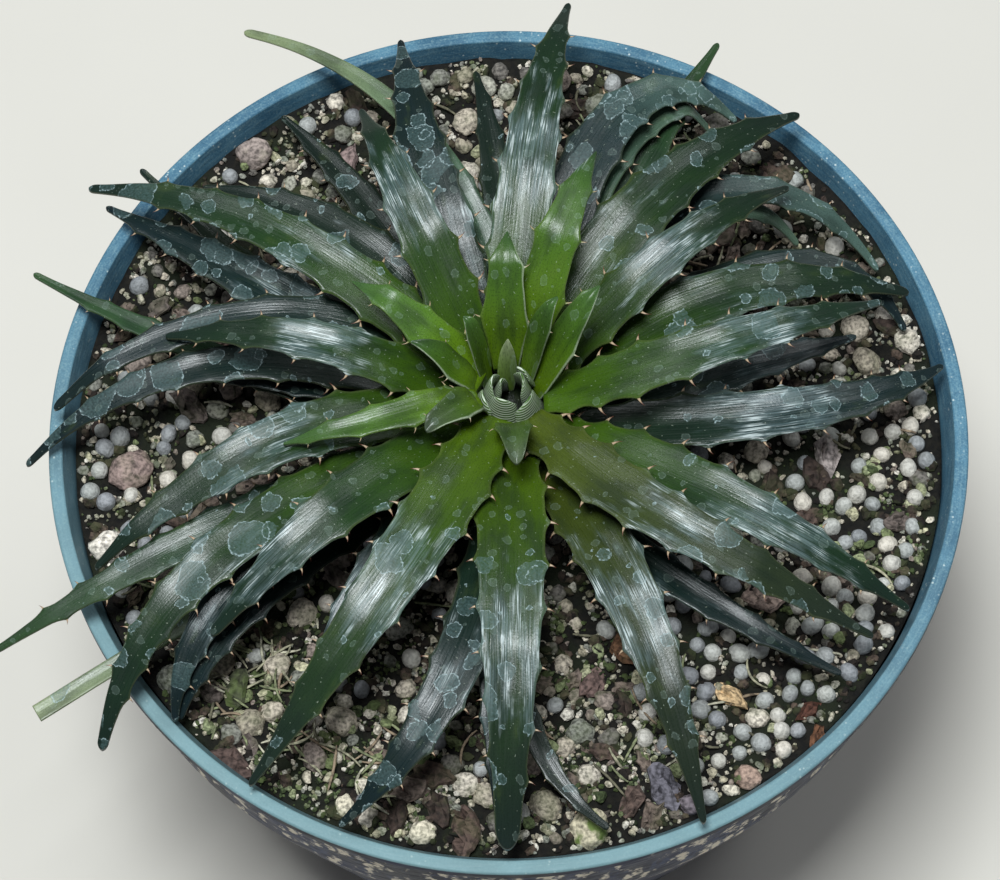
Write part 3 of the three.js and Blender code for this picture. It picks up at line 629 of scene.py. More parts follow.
# ---- leaves
class Leaf:
    """One leaf's values, and its shape as functions of s, the share of the way from root to tip."""

    def __init__(self, row, number, start, root_height):
        (self.turn_from, self.turn_to, reach, middle, tip, self.width, self.curl,
         self.palette, self.patches, self.silver, self.silver_at) = row
        self.number = number
        self.start = start
        self.length = reach - start
        self.root = root_height
        self.tip = POT_HEIGHT + tip
        self.control = 2 * (POT_HEIGHT + middle) - (self.root + self.tip) / 2
        self.random = np.random.default_rng(FIRST_SEED + number)

    def plan(self, s):
        outward = s + self.curl * s * (1 - s)
        turn = np.maximum(s, 0) ** (1 + self.curl)
        radius = self.start + self.length * outward
        angle = np.radians(self.turn_from + (self.turn_to - self.turn_from) * turn)
        return np.stack([radius * np.cos(angle), radius * np.sin(angle)], -1)

    def heading(self, s):
        step = self.plan(s + 0.01) - self.plan(s - 0.01)
        return step / np.linalg.norm(step, axis=-1, keepdims=True)

    def arch(self, s):
        return (1 - s) ** 2 * self.root + 2 * s * (1 - s) * self.control + s * s * self.tip

    def slope_factor(self, s):
        climb = 2 * (1 - s) * (self.control - self.root) + 2 * s * (self.tip - self.control)
        return np.minimum(np.hypot(1, climb / self.length), STEEPEST)

    def half_width(self, s):
        widening = ROOT_WIDTH + (1 - ROOT_WIDTH) * np.minimum(s / SHOULDER, 1)
        along = np.maximum((s - SHOULDER) / (1 - SHOULDER), 0)
        half = (self.width / 2) * widening * (1 - along ** TAPER)
        if self.number == CUT_LEAF:
            return np.maximum(half, CUT_HALF_WIDTH)
        fine = TIP_HALF_WIDTH if self.number < FIRST_YOUNG_LEAF else YOUNG_TIP
        tip = BLUNT_TIPS.get(self.number, fine)
        end = np.clip(1 - (1 - s) * self.length / (TIP_LENGTH * tip), 0, 1)
        return np.hypot(half, tip) * np.sqrt(1 - 0.97 * end ** 2)

    def keel(self, s):
        filled = lerp(KEEL_ROOT, KEEL, np.minimum(s / SHOULDER, 1))
        return np.maximum(lerp(filled, KEEL_TIP, s) * min(self.width / FULL_KEEL_WIDTH, 1), EDGE)

    def coarse_stops(self):
        """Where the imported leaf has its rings."""
        count = max(round(self.length / COARSE_PITCH), 1)
        half = COARSE_BASE / 2 / self.length
        teeth = [lerp(TEETH_FROM, TEETH_TO, (i + 0.5) / count) for i in range(count)]
        return np.array([0.004] + [s + side * half for s in teeth for side in (-1, 1)] + [0.996])

    def tooth_stops(self):
        """Where the fine teeth of one margin stand."""
        stops = []
        s = lerp(*FIRST_TOOTH, self.random.random()) / self.length
        last = STRAP_TEETH_TO if self.number in (CUT_LEAF, STRAP_LEAF) else TEETH_TO - 0.05
        while s < last:
            stops.append(s)
            pitch = lerp(TOOTH_PITCH_ENDS, TOOTH_PITCH_MIDDLE, math.sin(math.pi * min(s, 1)))
            s += pitch * (0.85 + 0.3 * self.random.random()) / self.length
        return np.array(stops)

    def tooth_size(self, s):
        return min(self.width / FULL_TOOTH_WIDTH, 1.15) * (1 - TOOTH_FALL * s)


def caudex_height(radius):
    inward = (CAUDEX_RADIUS - radius) / (CAUDEX_RADIUS - CROWN_RADIUS)
    return SOIL_TOP + CAUDEX_HEIGHT * min(max(inward, 0), 1)


def tree_of(*nodes):
    """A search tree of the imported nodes' faces."""
    points, faces = [], []
    for node in nodes:
        mesh = frame["nodes"][node].data
        faces += [[corner + len(points) for corner in polygon.vertices] for polygon in mesh.polygons]
        points += [vertex.co / MM for vertex in mesh.vertices]
    return BVHTree.FromPolygons(points, faces)


def height_under(tree, x, y, direction):
    """Height at which a plumb line meets the tree, from above (-1) or from below (1)."""
    hit = tree.ray_cast(Vector((x, y, -1000 * direction)), Vector((0, 0, direction)))[0]
    return None if hit is None else hit.z


def settled_heights(leaf, tree, s):
    """Heights along the leaf's middle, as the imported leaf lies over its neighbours."""
    stops = leaf.coarse_stops()
    heights = []
    for stop, (x, y) in zip(stops, leaf.plan(stops)):
        top, bottom = height_under(tree, x, y, -1), height_under(tree, x, y, 1)
        heights.append(float(leaf.arch(stop)) if top is None else (top + bottom) / 2)
    fine = np.linspace(0, 1, SETTLED_STOPS)
    level = smoothed(np.interp(fine, stops, heights), SETTLED_SPAN, mode="reflect", reflect_type="odd")
    return np.interp(s, fine, level)


def laid_over(leaf, tree, s):
    """The leaf's arch, raised where it would lie in what is beneath it."""
    fine = np.linspace(0, 1, LAID_STOPS)
    level = leaf.arch(fine)
    for i, (x, y) in enumerate(leaf.plan(fine)):
        beneath = height_under(tree, x, y, -1)
        if beneath is not None:
            level[i] = max(level[i], beneath + leaf.keel(fine[i]) / 2 + CLEARANCE)
    return np.interp(s, fine, smoothed(level, LAID_SPAN, mode="edge"))


def fin(leaf, s, teeth):
    """How far the feet of the teeth draw a margin outward."""
    width = np.zeros(len(s))
    for tooth in teeth:
        near = np.clip(1 - np.abs(s - tooth) * leaf.length / FIN_HALF_BASE, 0, 1)
        width = np.maximum(width, FIN_HEIGHT * leaf.tooth_size(tooth) * near ** 2)
    return width


def swell(leaf, s, offset):
    """The low swellings of the blade at each point of its rings, fading out at its root and tip."""
    along = s * leaf.length / SWELL_SIZE[1]
    rows = [[noise.noise(Vector((x / SWELL_SIZE[0], y, 3.7 * leaf.number))) for x in row]
            for y, row in zip(along, offset)]
    return SWELL * np.sin(math.pi * s)[:, None] * np.array(rows)


def leaf_colours(leaf, s):
    """Tint of each point of the rings at s: the palette along the leaf, and its margins."""
    stops = np.array([rgb(colour) for colour in PALETTES[leaf.palette]])
    along = np.stack([np.interp(s, (0.0, 0.45, 1.0), stops[:, channel]) for channel in range(3)], -1)
    shade = lerp(*DEPTH, leaf.random.random())
    colours = np.repeat(along[:, None, :] * shade, COLUMNS, axis=1)
    aged = lerp(rgb(OLD_MARGIN), rgb(YOUNG_MARGIN), min(leaf.number / len(LEAVES), 1))
    for column, side in ((0, -1), (COLUMNS - 1, 1)):
        white = WHITE_EDGES.get(leaf.number) == side
        margin, share = (rgb(WHITE_MARGIN), 0.7) if white else (aged, 0.15)
        colours[:, column] = lerp(colours[:, column], margin, share)
    return opaque(colours)


def opaque(colours):
    return np.concatenate([colours, np.ones(colours.shape[:2] + (1,))], -1)


def both_faces(values, width=1):
    """Values of one face's points, repeated for the other face."""
    return np.tile(values.reshape(-1, width), (2, 1))


def add_skin(pile, points, faces, place, tint, silver=0.0, patches=0.0, stripes=0.0, tooth=0.0):
    """Adds a body that wears the leaves' finish."""
    pile.add(points, faces, place=place, tint=tint, silver=silver, patches=patches, stripes=stripes,
             tooth=tooth)


def add_blade(pile, leaf, heights_at, channel=CHANNEL):
    """The blade: a channelled upper face, a keeled lower face and drawn-out margins with their teeth."""
    teeth = [leaf.tooth_stops(), leaf.tooth_stops()]
    even = np.linspace(0, 1, max(round(leaf.length / RING_PITCH), 14))
    rounding = 1 - TIP_LENGTH * leaf.half_width(0.99) * TIP_RINGS / leaf.length
    s = np.unique(np.round(np.concatenate([even, rounding, *teeth]), 3))
    plan, heading, half = leaf.plan(s), leaf.heading(s), leaf.half_width(s)
    fins = np.where(ACROSS < 0, fin(leaf, s, teeth[0])[:, None], fin(leaf, s, teeth[1])[:, None])
    offset = ACROSS * half[:, None] + np.sign(ACROSS) * np.abs(ACROSS) ** 4 * fins
    x = plan[:, :1] + heading[:, 1:] * offset
    y = plan[:, 1:] - heading[:, :1] * offset
    middle = heights_at(s)[:, None] + channel * half[:, None] * np.abs(ACROSS) ** 1.5 + swell(leaf, s, offset)
    thick = lerp(leaf.keel(s)[:, None], EDGE, ACROSS ** 2) * leaf.slope_factor(s)[:, None]
    thick = thick * (1 - 0.5 * ACROSS ** 12)
    top = np.stack([x, y, middle + thick / 2], -1)
    bottom = np.stack([x, y, middle - thick / 2], -1)
    along = s[:, None] * leaf.length + 0 * offset
    place = np.stack([offset + PLACE_STEP * leaf.number, along, 0 * offset], -1)
    colours = leaf_colours(leaf, s)
    # The silver film and its painted highlight peak on the leaf's arch; the margins get more of it, a painted
    # edge highlight.
    crest = np.exp(-((s - leaf.silver_at) / SILVER_AND_SHEEN_REACH) ** 2)
    silver = (leaf.silver * crest)[:, None] * (1 + 0.4 * np.abs(ACROSS) ** 8)
    patches = np.repeat((leaf.patches * smoothstep(s, 0.12, 0.4))[:, None], COLUMNS, axis=1)
    add_skin(pile, np.array([top, bottom]), shell_faces(len(s), COLUMNS), both_faces(place, 3),
             both_faces(colours, 4), both_faces(silver), both_faces(patches))
    for side, column, stops in zip((-1, 1), (0, COLUMNS - 1), teeth):
        for tooth in stops:
            row = int(np.argmin(np.abs(s - tooth)))
            root = (top[row, column] + bottom[row, column]) / 2
            add_claw(pile, leaf, root, heading[row], side, leaf.tooth_size(tooth), colours[row, column])


def add_claw(pile, leaf, root, heading, side, size, tint):
    """The hooked point of a tooth: a flattened cone that bends to the leaf's tip."""
    outward = np.array([heading[1] * side, -heading[0] * side, 0.12])
    forward = np.array([heading[0], heading[1], 0.0])
    up = np.array([0.0, 0.0, 1.0])
    length = CLAW_LENGTH * size * (0.8 + 0.4 * leaf.random.random())
    hook = 0.25 + 0.35 * leaf.random.random()
    browning = PALE_TOOTH if leaf.number >= FIRST_YOUNG_LEAF else 1
    points, tooth = [], []
    for t in np.linspace(0, 1, CLAW_RINGS):
        centre = root + outward * length * (t - 0.2) + forward * length * hook * t * t
        radius = CLAW_RADIUS * size * max(1 - t, 0.06)
        for ahead, rise, _ in circle(radius, 0, CLAW_SIDES):
            points.append(centre + 1.3 * ahead * forward + 0.7 * rise * up)
            tooth.append(t * browning)
    add_skin(pile, points, tube_faces(CLAW_RINGS, CLAW_SIDES, flip=side > 0), np.zeros(3), tint, tooth=tooth)


def make_leaves(skin):
    slots = {part["node"]: part["material_slot"] for part in frame["record"]["subparts"]}
    for number, row in enumerate(LEAVES, 1):
        node = f"leaf_{number:02d}"
        start = lerp(OLDEST_START, YOUNGEST_START, (number - 1) / (len(LEAVES) - 1))
        leaf = Leaf(row, number, start, caudex_height(start) + KEEL_ROOT + GAP)
        tree = tree_of(node)
        pile = Pile()
        add_blade(pile, leaf, lambda s: settled_heights(leaf, tree, s))
        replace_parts(pile.piece(f"blade_{number:02d}", skin, slots[node]), node)


# ---- heart
# Cupped scales round the growing point: direction, distance of the top from the axis, height, half span.
CUPS = [
    (150, 1.2, 10.0, 64),
    (15, 2.6, 11.0, 52),
    (168, 2.7, 10.4, 50),
    (250, 2.9, 9.6, 48),
    (325, 4.1, 8.6, 40),
    (60, 4.2, 8.0, 30),
    (200, 4.2, 7.6, 32),
]
CUP_COLUMNS = 17
CUP_ROWS = 11
CUP_WALL = 1.1
CUP_LEAN = 2.0  # how much wider a scale stands at its foot than at its top
CUP_TINTS = ("#22380e", "#42651f")
FIRST_CUP_PLACE = 60  # the first scale's place on the plane of the finish, in steps
STEM_SIDES = 48
STEM_TOP = SOIL_TOP + CAUDEX_HEIGHT


def add_cup(pile, number, cup, foot):
    """One scale: a wall leaning in over the growing point, with a thick, rounded top and a striped back."""
    direction, distance, height, half_span = cup
    u = np.linspace(-1, 1, CUP_COLUMNS)
    v = (1 - (1 - np.linspace(0, 1, CUP_ROWS)) ** 1.8)[:, None]
    angle = np.radians(direction + half_span * u)
    rise = v * height * (1 - 0.25 * np.abs(u) ** 2.2)
    bowed = distance + CUP_LEAN * (1 - v) ** 1.3
    wall = CUP_WALL * np.sqrt(1 - 0.98 * v ** 5) * np.sqrt(1 - 0.9 * np.abs(u) ** 4)
    points, places = [], []
    for side in (-0.5, 0.5):
        radius = np.maximum(bowed + side * wall, 0.15)
        points.append(np.stack([radius * np.cos(angle), radius * np.sin(angle), foot + rise], -1))
        over = (height - rise + 0.5 * side * wall) * np.sign(side) + PLACE_STEP * (FIRST_CUP_PLACE + number)
        places.append(np.stack([over, np.radians(half_span) * distance * u + 0 * v, 0 * rise], -1))
    level = v + 0 * u
    tint = opaque(lerp(*map(rgb, CUP_TINTS), level[:, :, None]))
    add_skin(pile, points, shell_faces(CUP_ROWS, CUP_COLUMNS, flip=True), np.reshape(places, (-1, 3)),
             both_faces(tint, 4), silver=0.2, stripes=both_faces(0.85 * smoothstep(level, 0.1, 0.5)))


def add_stem(pile):
    """The cone of the stem, from its neck in the soil to the crown."""
    profile = [(NECK_RADIUS, SOIL_TOP - NECK_DEPTH), (CAUDEX_RADIUS - GAP, SOIL_TOP - GAP),
               (CROWN_RADIUS, STEM_TOP - GAP), (CROWN_RADIUS - 1, STEM_TOP)]
    points = np.concatenate([circle(radius, z, STEM_SIDES) for radius, z in profile])
    add_skin(pile, points, tube_faces(len(profile), STEM_SIDES), points * (1, 1, 0), linear("#0e140a"))


def make_heart(skin):
    foot = STEM_TOP - HEART_SINK
    beneath = tree_of(*[f"leaf_{number:02d}" for number in range(1, len(LEAVES) + 1)])
    pile = Pile()
    add_stem(pile)
    for number, (row, start) in enumerate(zip(HEART_LEAVES, HEART_STARTS), len(LEAVES) + 1):
        leaf = Leaf(row, number, start, foot)
        add_blade(pile, leaf, lambda s: laid_over(leaf, beneath, s), HEART_CHANNEL)
    for number, cup in enumerate(CUPS):
        add_cup(pile, number, cup, foot)
    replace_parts(pile.piece("heart_leaves", skin, "heart"), "heart")


# ---- pot
def outer_radius(depth):
    band = RIM_RADIUS - LIP_OVERHANG
    if depth < BAND_DEPTH:
        return band - BAND_DRAFT * depth / BAND_DEPTH
    return lerp(band - BAND_DRAFT, BASE_RADIUS, (depth - BAND_DEPTH) / (POT_HEIGHT - BAND_DEPTH))


def inner_radius(depth):
    return outer_radius(depth) - WALL


def rounded(x, z, radius, start, end):
    """Points of a profile's round corner."""
    turns = np.radians(np.linspace(start, end, CORNER_POINTS))
    return [(x + radius * math.cos(turn), z + radius * math.sin(turn)) for turn in turns]


def outer_profile():
    """The pot's outside from the middle of its underside up to the lip's outer edge."""
    foot = BASE_RADIUS - FOOT_WIDTH
    lip = POT_HEIGHT - LIP_DEPTH
    below, above = BAND_RINGS
    depths = (BAND_DEPTH + below, BAND_DEPTH, BAND_DEPTH - above, LIP_DEPTH + 1, LIP_DEPTH)
    return [
        (0, 0), (PAD_RADIUS, 0), (PAD_RADIUS + 1, BASE_RECESS), (foot - 1, BASE_RECESS), (foot, 0),
        *rounded(BASE_RADIUS - FOOT_EDGE, FOOT_EDGE, FOOT_EDGE, -90, -10),
        *[(outer_radius(depth), POT_HEIGHT - depth) for depth in depths],
        *rounded(RIM_RADIUS - LIP_EDGE, lip + LIP_EDGE, LIP_EDGE, -90, 0),
        *rounded(RIM_RADIUS - LIP_EDGE, POT_HEIGHT - LIP_EDGE, LIP_EDGE, 0, 90),
    ]


def inner_profile():
    """From the lip's flat top down the inner wall to the middle of the floor."""
    flat_end = RIM_RADIUS - RIM_FLAT + LIP_INNER_EDGE
    edge = rounded(flat_end, POT_HEIGHT - LIP_INNER_EDGE, LIP_INNER_EDGE, 90, 180)
    depths = (LIP_DEPTH, BAND_DEPTH, POT_HEIGHT - FLOOR)
    wall = [(inner_radius(depth), POT_HEIGHT - depth) for depth in depths]
    return [*edge, *wall, (0, FLOOR)]


def lathe(profile, sides):
    """A closed body of revolution: (points, faces). The profile starts and ends on the axis."""
    rings = [circle(radius, z, sides) for radius, z in profile[1:-1]]
    faces = grid_faces(len(rings), sides, closed=True)
    first = len(rings) * sides
    top = first - sides
    faces += [[(i + 1) % sides, i, first] for i in range(sides)]
    faces += [[top + i, top + (i + 1) % sides, first + 1] for i in range(sides)]
    middles = [(0, 0, profile[0][1]), (0, 0, profile[-1][1])]
    return np.concatenate([*rings, middles]), faces


def drill_drains(piece):
    """Cuts the round drain holes through the pot's floor."""
    cutter = bmesh.new()
    for place in circle((PAD_RADIUS + BASE_RADIUS - FOOT_WIDTH) / 2, 0, DRAIN_COUNT):
        made = bmesh.ops.create_cone(cutter, cap_ends=True, segments=DRAIN_SIDES, radius1=DRAIN_RADIUS * MM,
                                     radius2=DRAIN_RADIUS * MM, depth=4 * FLOOR * MM)
        bmesh.ops.translate(cutter, verts=made["verts"], vec=Vector(place) * MM)
    mesh = bpy.data.meshes.new("drill")
    cutter.to_mesh(mesh)
    cutter.free()
    drill = add_object("drill", mesh)
    modifier = piece.modifiers.new("drains", "BOOLEAN")
    modifier.operation = "DIFFERENCE"
    modifier.object = drill
    drilled = bpy.data.meshes.new_from_object(piece.evaluated_get(bpy.context.evaluated_depsgraph_get()))
    piece.modifiers.remove(modifier)
    piece.data = drilled
    bpy.data.objects.remove(drill)


def make_pot():
    outside = outer_profile()
    points, faces = lathe(outside + inner_profile(), POT_SIDES)
    inner_edge_end = len(outside) + CORNER_POINTS - 2  # number of the last ring of the lip's inner edge
    inside = np.zeros((len(points), 1))
    inside[inner_edge_end * POT_SIDES:-2] = 1
    inside[-1] = 1
    pile = Pile()
    pile.add(points, faces, inside=inside)
    piece = pile.piece("pot_shell", pot_finish(), "pot")
    drill_drains(piece)
    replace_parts(piece, "pot")


# ---- soil and its dressing
def soil_height(x, y):
    """Height of the bare soil: low lumps, banked up along the wall."""
    lumps = noise.fractal(Vector((x, y, 3.1)) / SOIL_LUMP, 1.0, 2.0, 5)
    bank = smoothstep(math.hypot(x, y), *BANK_RADII) * lerp(*SOIL_BANK, smoothstep(y, *BANK_TURN))
    return SOIL_TOP - SOIL_SINK + SOIL_RELIEF * lumps + float(bank)


def make_soil():
    """The soil: the well round the stem's neck, the surface, and the side down to the floor."""
    rings = [circle(NECK_RADIUS + GAP, SOIL_TOP - NECK_DEPTH - GAP, SOIL_SECTORS)]
    for radius in np.linspace(CAUDEX_RADIUS + GAP, inner_radius(SOIL_DEPTH) - GAP, SOIL_RINGS):
        ring = circle(radius, 0, SOIL_SECTORS)
        ring[:, 2] = [soil_height(x, y) for x, y, _ in ring]
        rings.append(ring)
    for depth in (BAND_DEPTH, POT_HEIGHT - FLOOR - GAP):
        rings.append(circle(inner_radius(depth) - GAP, POT_HEIGHT - depth, SOIL_SECTORS))
    pile = Pile()
    pile.add(np.concatenate(rings), tube_faces(len(rings), SOIL_SECTORS, flip=True))
    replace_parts(pile.piece("soil_bed", soil_finish(), "soil"), "soil")


def ball(subdivisions):
    """Unit icosphere as (points, faces)."""
    shape = bmesh.new()
    bmesh.ops.create_icosphere(shape, subdivisions=subdivisions, radius=1.0)
    points = np.array([v.co[:] for v in shape.verts])
    faces = [[v.index for v in face.verts] for face in shape.faces]
    shape.free()
    return points, faces


TINY_BALL, COARSE_BALL, FINE_BALL = ball(1), ball(2), ball(3)
CLUMP = 3.4  # loose grains gather in patches of this size,
SPARSE = 0.0  # where a noise is above this
GRAINS_FROM = 17  # distances from the axis between which grains lie
GRAINS_TO = 73.4
TRIES = 60
DRESSING_SEED = 11
# Rings of a chip from its underside up: share of the outline, level, relief.
CHIP_RINGS = ((0.8, -1, 0), (1, -0.6, 0), (0.97, 0.5, 0.2), (0.78, 0.9, 0.5), (0.4, 1.1, 0.6))
STALK_RINGS = 9
STALK_SIDES = 6
STALK_LIFT = 0.9  # height of a stalk over the soil


class Dressing:
    """Where grains lie on the soil. Large ones keep out of each other."""

    def __init__(self, seed):
        self.random = np.random.default_rng(seed)
        self.placed = np.zeros((0, 3))
        self.heap = 0

    def claim(self, x, y, size):
        """Keeps this place free of further large grains."""
        self.placed = np.vstack([self.placed, (x, y, size)])

    def spot(self, size, favour, closeness):
        """A free place, or None; favour is (chance anywhere, [(x, y, radius, chance within it), ...])."""
        for _ in range(TRIES):
            radius = math.sqrt(lerp(GRAINS_FROM ** 2, (GRAINS_TO - size) ** 2, self.random.random()))
            angle = FULL_TURN * self.random.random()
            x, y = radius * math.cos(angle), radius * math.sin(angle)
            chances = [chance for cx, cy, reach, chance in favour[1] if math.hypot(x - cx, y - cy) < reach]
            if self.random.random() > max([favour[0]] + chances):
                continue
            if closeness == 0:
                if noise.noise(Vector((x / CLUMP, y / CLUMP, 5.3 * self.heap))) < SPARSE:
                    continue
                return x, y
            gaps = np.hypot(*(self.placed[:, :2] - (x, y)).T) - closeness * (self.placed[:, 2] + size)
            if (gaps > 0).all():
                return x, y
        return None

    def put(self, pile, x, y, size, shape, sink):
        points, faces = shape(self.random, size)
        pile.add(points + (x, y, soil_height(x, y) + size * (0.5 - sink)), faces, lot=self.random.random())

    def lay(self, pile, count, sizes, favour, shape, closeness, sink, spread):
        self.heap += 1
        for _ in range(count):
            size = lerp(*sizes, self.random.random() ** spread)
            place = self.spot(size, favour, closeness)
            if place is None:
                continue
            if closeness > 0:
                self.claim(*place, size)
            self.put(pile, *place, size, shape, sink)


def pared(points, direction, reach, amount):
    """Points, pushed back by this amount of what they stand out beyond reach in a direction."""
    flat = direction / np.linalg.norm(direction)
    return points - np.maximum(points @ flat - reach, 0)[:, None] * flat * amount


def spun(points, random, tilt):
    """Points turned anyhow about the vertical and tilted a little."""
    spin = Euler((tilt * random.normal(), tilt * random.normal(), FULL_TURN * random.random())).to_matrix()
    return points @ np.array(spin).T


def prill(random, size):
    """A round coated grain of fertilizer, dented on a side or two."""
    points, faces = FINE_BALL
    for _ in range(2):
        points = pared(points, random.normal(size=3), 0.84, 0.9)
    squash = (1 + 0.22 * random.random() ** 2, 0.86 + 0.12 * random.random(), 0.86 + 0.12 * random.random())
    turn = Euler(random.random(3) * FULL_TURN).to_matrix()
    return points * squash * size @ np.array(turn).T, faces


def chunk(random, size, cuts=7, shape=COARSE_BALL):
    """An angular grain: a ball with flats cut from it and a rough skin."""
    points, faces = shape
    points = points * (0.9 + 0.2 * random.random((len(points), 1)))
    for _ in range(cuts):
        points = pared(points, random.normal(size=3), 0.45 + 0.35 * random.random(), 0.92)
    points = points * (1, 0.8, 0.62) * (0.85 + 0.3 * random.random(3)) * size
    return spun(points, random, 0.5), faces


def crumb(random, size):
    return chunk(random, size, 2, TINY_BALL)


def lump(random, size):
    """A stone with a pitted, knobbly skin."""
    points, faces = FINE_BALL
    seed = 50 * random.random(3)
    rough = np.array([noise.fractal(Vector(point * 1.4 + seed), 1.0, 2.0, 4) for point in points])
    points = points * (1 + 0.22 * rough[:, None]) * (1, 0.85, 0.68) * size
    return spun(points, random, 0.3), faces


def chip(random, size, corners=13, thick=0.2):
    """A flat, broken chip of bark with a jagged outline."""
    turn = FULL_TURN * (np.arange(corners) + 0.7 * random.random(corners)) / corners
    reach = 0.72 + 0.5 * random.random(corners)
    outline = np.stack([1.25 * reach * np.cos(turn), 0.72 * reach * np.sin(turn)], -1)
    rings = []
    for inset, level, relief in CHIP_RINGS:
        height = thick * (level + relief * random.normal(size=corners))
        rings.append(np.concatenate([outline * inset, height[:, None]], -1))
    return spun(np.concatenate(rings) * size, random, 0.25), tube_faces(len(rings), corners)


def block(random, size):
    """A thick broken piece with few corners."""
    return chip(random, size, 6, 0.42)


def stalk(random, size, thickness=0.24):
    """A dry stalk, a little bent. Its size is its length, so it is lowered again by half of it."""
    bend = 0.3 * random.normal()
    heading = FULL_TURN * random.random()
    lift = 0.12 * random.normal()
    points = []
    for t in np.linspace(-0.5, 0.5, STALK_RINGS):
        angle = heading + bend * t
        ahead = np.array([math.cos(angle), math.sin(angle), lift])
        aside = np.array([-math.sin(angle), math.cos(angle), 0])
        wide = thickness * (0.6 + 0.4 * math.cos(math.pi * t)) * (0.8 + 0.4 * random.random())
        for across, up, _ in circle(wide, 0, STALK_SIDES):
            points.append(size * t * ahead + across * aside + (0, 0, 0.5 * up))
    return np.array(points) + (0, 0, STALK_LIFT - 0.5 * size), tube_faces(STALK_RINGS, STALK_SIDES)


def scrap(random, size):
    return stalk(random, size, 1.3)


STONES = ("#aba18e", "#8b8a80", "#cbbfac", "#77726b", "#95968a", "#ddd3c2", "#97897f", "#b3b1a2")
PALE_STONES = ("#e2d8c4", "#cfc5b0", "#e6dfd0", "#b9b098")
BARKS = ("#5a4a42", "#75665c", "#41352f", "#6a5f59", "#7f7066")
PRILLS = ("#a8aaa6", "#97999a", "#b9b9b2", "#a1a3a1", "#c6c2b8", "#8d8f92", "#d2cabc")
MOSSES = ("#232c17", "#3c4a2a", "#5f6b47", "#7d8464", "#2d371f", "#4d5a38")
MOSS_BITS = ("#6a7850", "#98a078", "#bcbc98", "#4a5636", "#d0caa8", "#808a60")
DARK_CRUMBS = ("#1a1512", "#2c241e", "#40362e", "#231d19", "#57493f")
STALKS = ("#a8a489", "#c2bea6", "#75715c", "#868c68", "#94826c")

# Stones and chips that stand out: x, y, size, shape, colour, moss.
LANDMARKS = [
    (36, -46, 3.0, block, "#e0c093", 0.0),
    (12, -69, 3.5, lump, "#ddd2b4", 1.0),
    (-64, -4, 4.0, lump, "#a8928a", 0.1),
    (-67.5, -18, 3.0, lump, "#efe6d8", 0.1),
    (-15, -69, 2.3, lump, "#efe4cc", 0.1),
    (-27.5, -64, 2.0, lump, "#e9dfc6", 0.3),
    (-44, 55, 3.4, lump, "#a99a92", 0.2),
    (-28, 54, 3.4, chip, "#94807c", 0.0),
    (54, -3, 3.2, block, "#b5a9a4", 0.1),
    (24.7, -62, 3.4, chip, "#6d6a72", 0.0),
    (28.6, -65, 2.0, lump, "#8d8288", 0.0),
    (42, -29, 3.6, chip, "#b09a8e", 0.0),
    (18.8, -38, 2.8, block, "#8f6a50", 0.1),
    (13.6, -43.4, 2.6, chip, "#75605a", 0.0),
    (-8, -68.5, 4.4, chip, "#5d4c44", 0.1),
    (9.8, -62.9, 3.0, chip, "#6f6258", 0.1),
    (19, -64, 2.8, chip, "#63524a", 0.0),
    (48.5, -49, 2.0, block, "#5b3a2e", 0.0),
    (49.7, -54, 2.0, chip, "#6e4a34", 0.0),
    (38, -60.5, 2.3, lump, "#b59a8a", 0.0),
    (-46, -57, 3.4, chip, "#5b4a44", 0.0),
    (-46, -44, 3.4, chip, "#4b4f3a", 0.4),
    (19, -51, 9, scrap, "#a5958a", 0.0),
    (59, -37, 11, scrap, "#8f8a7c", 0.2),
    (-45, -49, 8, scrap, "#6b5a4a", 0.0),
    (51.6, 38.5, 12, scrap, "#8a5f3c", 0.0),
]


def make_landmarks(dressing):
    for number, (x, y, size, shape, colour, moss) in enumerate(LANDMARKS, 1):
        pile = Pile()
        dressing.put(pile, x, y, size, shape, 0.3)
        if shape is not scrap:
            dressing.claim(x, y, 0.9 * size)
        finish = mineral_finish(f"stone_{number:02d}", (colour,), 1.3, 0.9, moss, green="#67793f")
        pile.piece(f"landmark_{number:02d}", finish, "soil", shape in (lump, scrap))


# Where each kind lies: chance anywhere, then spots (x, y, radius) with the chance within them.
PRILLS_AT = (0.05, [(43, -44, 24, 1.0), (60, -12, 18, 0.5), (-60, -6, 16, 0.7), (-14, 58, 12, 0.1)])
STONES_AT = (0.4, [(-60, 0, 22, 0.9), (-44, 50, 24, 1.0), (10, 62, 20, 1.0), (6, -64, 20, 0.7),
                   (62, 20, 20, 0.9)])
MOSS_AT = (0.12, [(-34, -50, 26, 1.0), (64, -14, 12, 1.0), (10, -46, 18, 0.8), (-66, -26, 12, 0.5)])
BARK_AT = (0.3, [(30, 40, 30, 0.9), (-6, -66, 16, 0.8), (-50, 4, 18, 0.8), (20, -56, 16, 0.8)])
STRAW_AT = (0.04, [(-47, -49, 14, 1.0), (-30, -60, 10, 0.6), (38, 50, 20, 0.2)])
GRIT_AT = (0.4, [(-60, 0, 20, 0.7), (-44, 50, 24, 0.9), (10, 62, 20, 0.9), (0, -60, 34, 1.0),
                 (62, 20, 20, 0.8)])
PALE_AT = (0.5, [(-30, -50, 34, 1.0), (24, -58, 24, 1.0)])
EVEN = (1.0, [])

